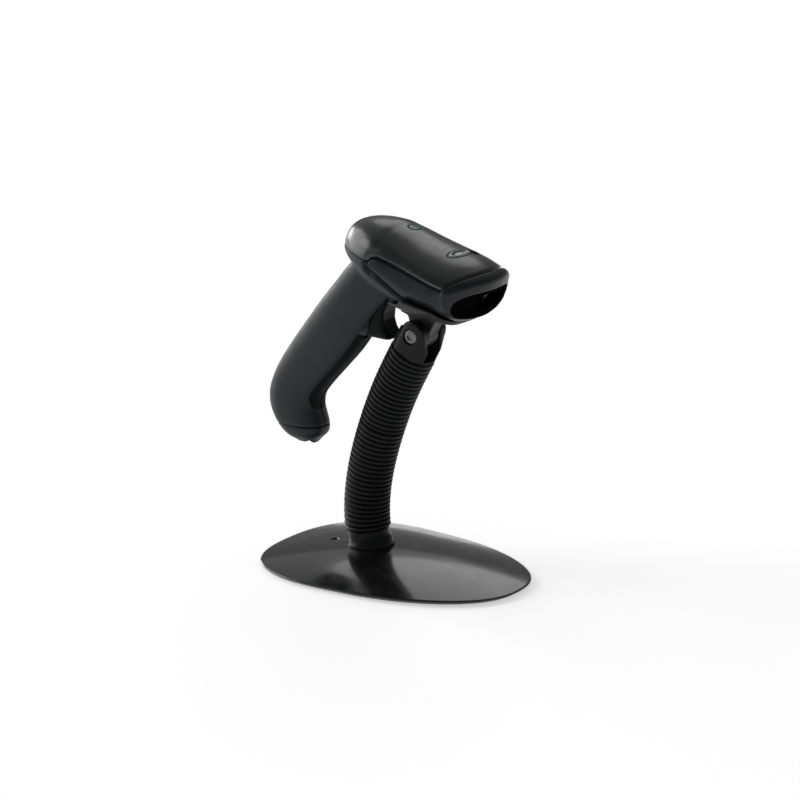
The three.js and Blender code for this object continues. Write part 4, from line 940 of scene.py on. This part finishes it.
def neck_at(s):
    i = int(np.clip(np.searchsorted(FS, s, side="right") - 1, 0, 7))
    h = FS[i + 1] - FS[i]
    t = (s - FS[i]) / h
    p0, p1, m0, m1 = FR[i, :2], FR[i + 1, :2], FR[i, 2:] * h, FR[i + 1, 2:] * h
    t2, t3 = t * t, t * t * t
    p = (2*t3 - 3*t2 + 1) * p0 + (t3 - 2*t2 + t) * m0 + (-2*t3 + 3*t2) * p1 + (t3 - t2) * m1
    d = (6*t2 - 6*t) * p0 / h + (3*t2 - 4*t + 1) * m0 / h + (-6*t2 + 6*t) * p1 / h + (3*t2 - 2*t) * m1 / h
    return p, d / np.linalg.norm(d)


def sweep(name, stations, seg, mat, close=True, sharp=55):
    """Rings (s, radius) round the neck curve, joined into one closed skin."""
    V, F = [], []
    for s, r in stations:
        p, d = neck_at(s)
        n = np.array([d[1], -d[0]])
        for k in range(seg):
            a = 2 * math.pi * k / seg
            q = p + n * r * math.cos(a)
            V.append((q[0], r * math.sin(a), q[1]))
    m = len(stations)
    for i in range(m):
        j = (i + 1) % m
        if j == 0 and not close:
            break
        for k in range(seg):
            l = (k + 1) % seg
            F.append((i * seg + k, i * seg + l, j * seg + l, j * seg + k))
    ob = build(name, V, F, True, sharp)
    ob.data.materials.append(mat)
    return ob


RIB = NECK_STEP / 5.5
CHAIN = ["stand_base"] + [f"link_{i}" for i in range(1, 8)] + ["neck_head"]


def rib_r(s):
    """Rounded ribs with narrow valleys between them."""
    ph = ((s - (NECK_START + NECK_STEP / 2)) / RIB) % 1.0
    x = min(ph, 1 - ph) * 2                      # 0 in a valley, 1 on a crest
    body = 1 - (1 - min(1, x * 1.25)) ** 2.2
    return 13.25 + 1.6 * body + 0.05 * math.cos(2 * math.pi * ph)


def sleeve(k):
    joint_s = NECK_START + NECK_STEP * k
    s0 = NECK_START - 0.9 if k == 0 else joint_s - NECK_STEP / 2
    s1 = joint_s + NECK_STEP / 2 if k < 7 else joint_s + 0.9
    per = 14
    if k == 4:
        # here the sleeve is parted at the joint, in the valley between two ribs, and each part rides rigidly
        for tag, lo, hi, body in (("a", s0, joint_s - 0.6, CHAIN[4]), ("b", joint_s + 0.6, s1, CHAIN[5])):
            m = max(6, int(round((hi - lo) / RIB * per)))
            rows = [(lo + (hi - lo) * i / m, rib_r(lo + (hi - lo) * i / m)) for i in range(m + 1)]
            rows = rows + [(hi, 13.0)] if tag == "a" else [(lo, 13.0)] + rows
            rows = rows + [(q, 12.3) for q, _ in reversed(rows[::4] + ([rows[-1]] if (len(rows) - 1) % 4 else []))]
            part = sweep(f"gooseneck_sleeve_5{tag}", rows, 72, RIBS)
            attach(part, body)
            if tag == "a":
                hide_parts("neck_sleeve_4")
        return None
    n = max(6, int(round((s1 - s0) / RIB * per)))
    st = [(s0 + (s1 - s0) * i / n, rib_r(s0 + (s1 - s0) * i / n)) for i in range(n + 1)]
    inner = [(s, 12.3) for s, _ in reversed(st[::4] + ([st[-1]] if (n % 4) else []))]
    ob = sweep(f"gooseneck_sleeve_{k + 1}", st + inner, 72, RIBS)
    if 1 <= k <= 7:
        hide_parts(f"neck_sleeve_{k}")
    a, _ = neck_at(joint_s - 6.5 if k else joint_s - 0.6)
    b, _ = neck_at(joint_s + 6.5 if k < 7 else joint_s + 0.7)
    if k == 0:
        b, _ = neck_at(joint_s + 6.5)
    if k == 7:
        a, _ = neck_at(joint_s - 6.5)
    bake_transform(ob)
    return ob


def collar():
    seg = 96
    V, F = [], []
    rings = []
    foot = []
    for k in range(seg):
        a = 2 * math.pi * k / seg
        x, y = -22.6 + 15.0 * math.cos(a), 15.0 * math.sin(a)
        foot.append((x, y, float(dome_z(np.array([x]), np.array([y]))[0]) + 0.25))
    rings.append(foot)

    def ring(s, r):
        p, d = neck_at(s)
        n = np.array([d[1], -d[0]])
        return [(p[0] + n[0] * r * math.cos(2 * math.pi * k / seg), r * math.sin(2 * math.pi * k / seg),
                 p[1] + n[1] * r * math.cos(2 * math.pi * k / seg)) for k in range(seg)]

    lift = [tuple(np.array(p) + (0, 0, 0.7)) for p in foot]
    rings.append([(-22.6 + (x + 22.6) * 1.006, y * 1.006, z) for x, y, z in lift])
    for s, r in [(3.0, 14.1), (3.6, 13.75), (4.6, 13.5), (6.0, 13.42), (7.6, 13.4), (9.0, 13.4), (9.9, 13.35), (10.3, 13.1), (10.5, 12.7),
                 (10.5, 11.9), (6.0, 11.9), (2.6, 11.9)]:
        rings.append(ring(s, r))
    rings.append([(-22.6 + (x + 22.6) * 0.82, y * 0.82, z + 0.1) for x, y, z in foot])
    for r in rings:
        V += r
    m = len(rings)
    for i in range(m):
        j = (i + 1) % m
        for k in range(seg):
            l = (k + 1) % seg
            F.append((i * seg + k, i * seg + l, j * seg + l, j * seg + k))
    ob = build("neck_collar_ring", V, F, True, 50)
    ob.data.materials.append(COLLAR)
    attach(ob, "stand_base"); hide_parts("neck_collar")
    return ob


def screw_piece(name, node, face, tip, head_r, head_h, shank_r, key_r, body):
    """A pan-head screw with a rounded head, six-lobed recess, neck and threaded shank, turned as rings along its axis."""
    a, b = Vector(face), Vector(tip)
    d = (b - a).normalized()
    ref = Vector((0, 0, 1)) if abs(d.z) < 0.9 else Vector((1, 0, 0))
    u = d.cross(ref).normalized(); w = d.cross(u)
    L = (b - a).length
    seg = 36
    prof = []
    key_d = head_h * 0.55
    prof += [("k", key_d, key_r * 0.25), ("k", key_d, key_r * 0.9), ("k", 0.25, key_r), ("r", 0.06, key_r * 1.25), ("r", 0.0, head_r * 0.78),
             ("r", 0.12, head_r * 0.92), ("r", head_h * 0.35, head_r), ("r", head_h, head_r), ("r", head_h, shank_r * 1.05)]
    x = head_h
    while x < L - 1.2:
        prof += [("r", x + 0.25, shank_r), ("r", x + 0.5, shank_r * 0.82)]
        x += 0.7
    prof += [("r", L - 0.6, shank_r * 0.8), ("r", L, shank_r * 0.4)]
    V, F = [], []
    for kind, x, r in prof:
        for k in range(seg):
            t = 2 * math.pi * k / seg
            rr = r * (1 + (0.13 * math.cos(6 * t) if kind == "k" else 0))
            V.append(tuple(a + d * x + u * (rr * math.cos(t)) + w * (rr * math.sin(t))))
    m = len(prof)
    for i in range(m - 1):
        for k in range(seg):
            l = (k + 1) % seg
            F.append((i * seg + l, i * seg + k, (i + 1) * seg + k, (i + 1) * seg + l))
    F.append(tuple(range(seg)))
    F.append(tuple(reversed([(m - 1) * seg + k for k in range(seg)])))
    ob = build(name, V, F, True, 38)
    bm = bmesh.new(); bm.from_mesh(ob.data); bmesh.ops.recalc_face_normals(bm, faces=bm.faces); bm.to_mesh(ob.data); bm.free()
    ob.data.set_sharp_from_angle(angle=math.radians(38))
    ob.data.materials.append(STEEL)
    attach(ob, body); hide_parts(node)
    return ob


# ------------------------------------------------------------------ make every piece
solid("scanner_top_cover", f_cover, (-40, -37, 178), (78, 37, 236), 0.62, "scanner", ("top_cover",), COVER)
for _name, _side, _y0, _y1, _node in (("scanner_right_shell", -1, -37, 2, "right_housing"), ("scanner_left_shell", 1, -2, 37, "left_housing")):
    _ob = solid(_name, f_housing(_side), (-102, _y0, 82), (76, _y1, 214), 0.62, "scanner", (_node,), SHELL)
    # faces down the grip's front take the darker strip of painted shade
    paint_inside(_ob, on_painted_shade_front, FRONT_PAINTED_SHADE)
    # the butt facet's faces take the paler strip of painted highlight
    paint_inside(_ob, on_painted_highlight_facet, FACET_PAINTED_HIGHLIGHT)
solid("scanner_butt_cap", f_cap, (-97, -16, 72), (-55, 16, 86.5), 0.5, "scanner", ("butt_cap",), SHELL)
nose = solid("scanner_nose_bezel", f_bezel, (-8, -37, 168), (76, 37, 212), 0.5, "scanner", ("nose_bezel",), BEZEL)
# faces inside the throat take the near-black painted shade
paint_inside(nose, lambda P: (flare_d(to_head(P)) < 0.35) & (mid_u(to_head(P)) < NOSE_U - 2.2) & (to_head(P)[:, 0] > 44), PAINTED_SHADE_BLACK)
pane = solid("indicator_window", f_window_lens, (30, -13, 196), (52, 16, 222), 0.22, "scanner", ("indicator_lens",), LENS)
# the window's rim faces take the pale painted highlight
paint_inside(pane, lambda P: in_ellipse(to_head(P), *LENS_AT) > -1.15, RIM_PAINTED_HIGHLIGHT)
# the raised spot beside the indicator window is coloured near-black as painted shade
solid("indicator_notch_painted_shade", f_notch, (30, 10, 196), (54, 23, 222), 0.2, "scanner", (), PAINTED_SHADE_BLACK)
solid("cover_inlay", f_badge, (-2, -3, 208), (18, 12, 228), 0.2, "scanner", ("badge_inlay",), TEAL)
solid("trigger_lever", f_trigger, (-23, -10, 148), (-1, 10, 187), 0.36, "trigger", ("trigger",), TRIGGER)
solid("hinge_fork_moulding", f_fork, (-8, -16, 138), (34, 16, 168), 0.42, "neck_head", ("hinge_fork",), COLLAR)
solid("hinge_pivot_bolt", f_bolt, (PX - 7, -15, PZ - 7), (PX + 7, 15, PZ + 7), 0.24, "neck_head", ("hinge_bolt",), BOLT)
solid("cradle_cup_moulding", f_cradle, (0, -42, 144), (66, 42, 196), 0.5, "cradle", ("cradle_cup",), CUP)
solid("stand_base_cover", f_base, (-96, -72, -1), (96, 72, 16), 0.8, "stand_base", ("base_cover",), GLOSS)
collar()
for _k in range(8):
    sleeve(_k)
for _i, (_x, _z, _hw) in enumerate(SCREWS):
    screw_piece(f"housing_screw_{_i + 1}_fine", f"housing_screw_{_i + 1}", (_x, _hw - 2.6, _z), (_x, -9.0, _z), 2.8, 1.8, 1.2, 1.3,
                "scanner")

# ------------------------------------------------------------------ floor and light
def plane(name, size, z, mat):
    bm = bmesh.new()
    bmesh.ops.create_grid(bm, x_segments=8, y_segments=8, size=size)
    me = bpy.data.meshes.new(name)
    bm.to_mesh(me); bm.free()
    ob = bpy.data.objects.new(name, me)
    ob.location.z = z
    SC.collection.objects.link(ob)
    me.materials.append(mat)
    return ob


FLOOR = bpy.data.materials.new("pale_floor")
FLOOR.use_nodes = True
_b = FLOOR.node_tree.nodes["Principled BSDF"]
_b.inputs["Base Color"].default_value = (0.93, 0.93, 0.93, 1)
_b.inputs["Roughness"].default_value = 0.9
_b.inputs["Specular IOR Level"].default_value = 0.1
_b.inputs["Emission Color"].default_value = (1, 1, 1, 1)
_b.inputs["Emission Strength"].default_value = 0.54
plane("floor", 6.0, -0.0002, FLOOR)

W = bpy.data.worlds.new("studio")
SC.world = W
W.use_nodes = True
W.node_tree.nodes["Background"].inputs["Color"].default_value = (1, 1, 1, 1)
W.node_tree.nodes["Background"].inputs["Strength"].default_value = 0.17


def soft_sun(name, toward, power, degrees):
    """A distant soft box: light arriving from the direction toward, as wide as degrees."""
    d = bpy.data.lights.new(name, "SUN")
    d.energy = power
    d.angle = math.radians(degrees)
    o = bpy.data.objects.new(name, d)
    o.rotation_euler = Vector(toward).to_track_quat("Z", "Y").to_euler()
    SC.collection.objects.link(o)
    return o


soft_sun("back_box", (-0.36, 0.70, 0.62), 0.21, 28)
soft_sun("overhead_box", (-0.42, 0.42, 0.80), 0.22, 70)
soft_sun("left_box", (-0.93, -0.14, 0.32), 1.60, 54)
soft_sun("front_left_box", (-0.74, -0.36, 0.56), 0.24, 24)
soft_sun("left_strip", (-0.91, 0.36, 0.16), 0.40, 18)

SC.view_settings.view_transform = "Standard"
